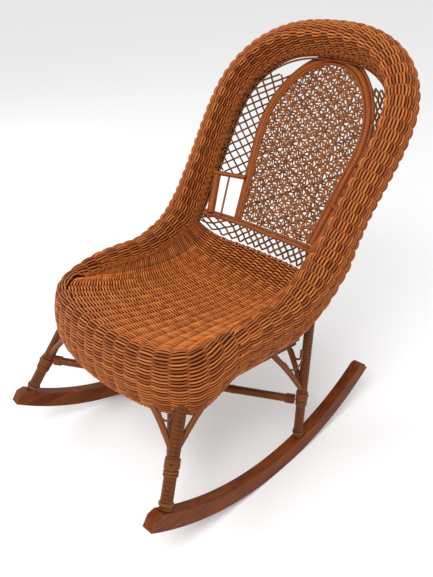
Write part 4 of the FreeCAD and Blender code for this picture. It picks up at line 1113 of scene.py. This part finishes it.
def side_of_back(side_name, side):
    """Short bar, side post, spindle and lattice of one side."""
    bar_out, bar_in = mirrored(SHORT_BAR_OUT, side), mirrored(SHORT_BAR_IN, side)
    wrapped_bar("short_bar", side_name, [bar_out, bar_in], SHORT_BAR_ROD, 12)
    post = [mirrored(SIDE_POST_FOOT, side), mirrored(SIDE_POST_HEAD, side)]
    wrapped_bar("side_post", side_name, post, SIDE_POST_ROD, 14)
    spindle = Strands("spindle_stick_" + side_name)
    slot_low = mirrored((CROSSBAR_END + CROSSBAR_KNEE) * 0.5, side)
    knuckled_stick(spindle, [slot_low, (bar_out + bar_in) * 0.5], SPINDLE_ROD, first=20.0, sides=8)
    spindle.piece(CANE, "reed", "spindle_" + side_name)

    rows = []
    for height in np.linspace(LATTICE_START, LATTICE_END, LATTICE_ROWS):
        by_arch = on_panel(side * half_width(height, ARCH_ROD + LATTICE_GAP), height)
        run = BEND_END + LATTICE_ABOVE_BEND + (height - LATTICE_START)
        by_roll = Edge(np.array([side * distance_at_run(run)])).inner_edge(0.0)[0][0]
        rows.append((by_roll + unit(by_arch - by_roll) * LATTICE_INSET, by_arch))
    web = Strands("lattice_reeds_" + side_name)
    lattice(web, rows, 11, 3, LATTICE_REED)
    web.piece(FINE, "split_cane", "lattice_" + side_name)


def lattice_strip():
    """The strip of lattice between the seat's rear edge and the crossbar."""
    rows = []
    for place in np.linspace(-STRIP_REACH, STRIP_REACH, STRIP_ROWS):
        by_seat = seat_surface(np.array([place * STRIP_ON_SEAT]), np.array([1.0]))[0] + STRIP_LIFT
        bar_x = place * CROSSBAR_END[0] * STRIP_ON_BAR
        bent = max((abs(bar_x) - CROSSBAR_KNEE[0]) / (CROSSBAR_END[0] - CROSSBAR_KNEE[0]), 0.0)
        by_bar = CROSSBAR_KNEE + (CROSSBAR_END - CROSSBAR_KNEE) * bent
        by_bar = np.array([bar_x, by_bar[1], by_bar[2]])
        rows.append((by_seat, by_bar + unit(by_seat - by_bar) * LATTICE_INSET))
    strip = Strands("lattice_strip_reeds")
    lattice(strip, rows, 15, 2, STRIP_REED)
    strip.piece(FINE, "split_cane", "lattice_strip")


crossbar()
for side_name, side in SIDES:
    side_of_back(side_name, side)
lattice_strip()

# ---------------- CAD nodes that show as they are

for name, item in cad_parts.items():
    if not item.hide_render:
        item.data.materials.clear()
        item.data.materials.append(WOOD if name.startswith("rocker_") else
                                   NAIL if name == "stretcher_nails" else FRAME_WOOD)

# ---------------- floor, light and camera

FLOOR_SIZE, FLOOR_DROP = 12.0, 0.0002
FLOOR_GREY, WORLD_STRENGTH = 0.93, 0.85
LIT_SPOT = (0, 0, 0.2)
CAMERA_AT = np.array([410.38, -220.28, 432.18])
AZIMUTH, ELEVATION = 0.8323, 0.4696
SENSOR_WIDTH, LENS = 36.0, 53.376443

bpy.ops.mesh.primitive_plane_add(size=FLOOR_SIZE, location=(0, 0, -FLOOR_DROP))
floor = bpy.context.active_object
floor.name = "floor"
paper = bpy.data.materials.new("white_floor")
paper.use_nodes = True
paper_shader = paper.node_tree.nodes["Principled BSDF"]
paper_shader.inputs["Base Color"].default_value = (FLOOR_GREY, FLOOR_GREY, FLOOR_GREY, 1)
paper_shader.inputs["Roughness"].default_value = 0.9
floor.data.materials.append(paper)
floor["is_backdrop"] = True

world = bpy.data.worlds.new("studio")
bpy.context.scene.world = world
world.use_nodes = True
world.node_tree.nodes["Background"].inputs["Color"].default_value = (1, 1, 1, 1)
world.node_tree.nodes["Background"].inputs["Strength"].default_value = WORLD_STRENGTH


def area_light(name, place, size, watts):
    data = bpy.data.lights.new(name, "AREA")
    data.size = size
    data.energy = watts
    lamp = linked(name, data)
    lamp.location = place
    lamp.rotation_euler = (Vector(LIT_SPOT) - Vector(place)).to_track_quat("-Z", "Y").to_euler()


area_light("key_light", (0.5, -0.9, 1.3), size=0.7, watts=14)
area_light("fill_light", (-1.1, -0.5, 0.8), size=1.0, watts=5)

right = np.array([math.cos(AZIMUTH), math.sin(AZIMUTH), 0])
up = np.array([-math.sin(AZIMUTH) * math.sin(ELEVATION), math.cos(AZIMUTH) * math.sin(ELEVATION),
               math.cos(ELEVATION)])
camera_data = bpy.data.cameras.new("camera")
camera_data.sensor_fit = "HORIZONTAL"
camera_data.sensor_width = SENSOR_WIDTH
camera_data.lens = LENS
camera_data.clip_start = 0.01
camera = linked("camera", camera_data)
turned = [Vector(TURN @ axis) for axis in (right, up, np.cross(right, up))]
rotation = Matrix(turned).transposed().to_4x4()
camera.matrix_world = Matrix.Translation(Vector(settle(CAMERA_AT))) @ rotation
bpy.context.scene.camera = camera
bpy.context.scene.view_settings.view_transform = "Standard"

write_size("finished", SIZES)
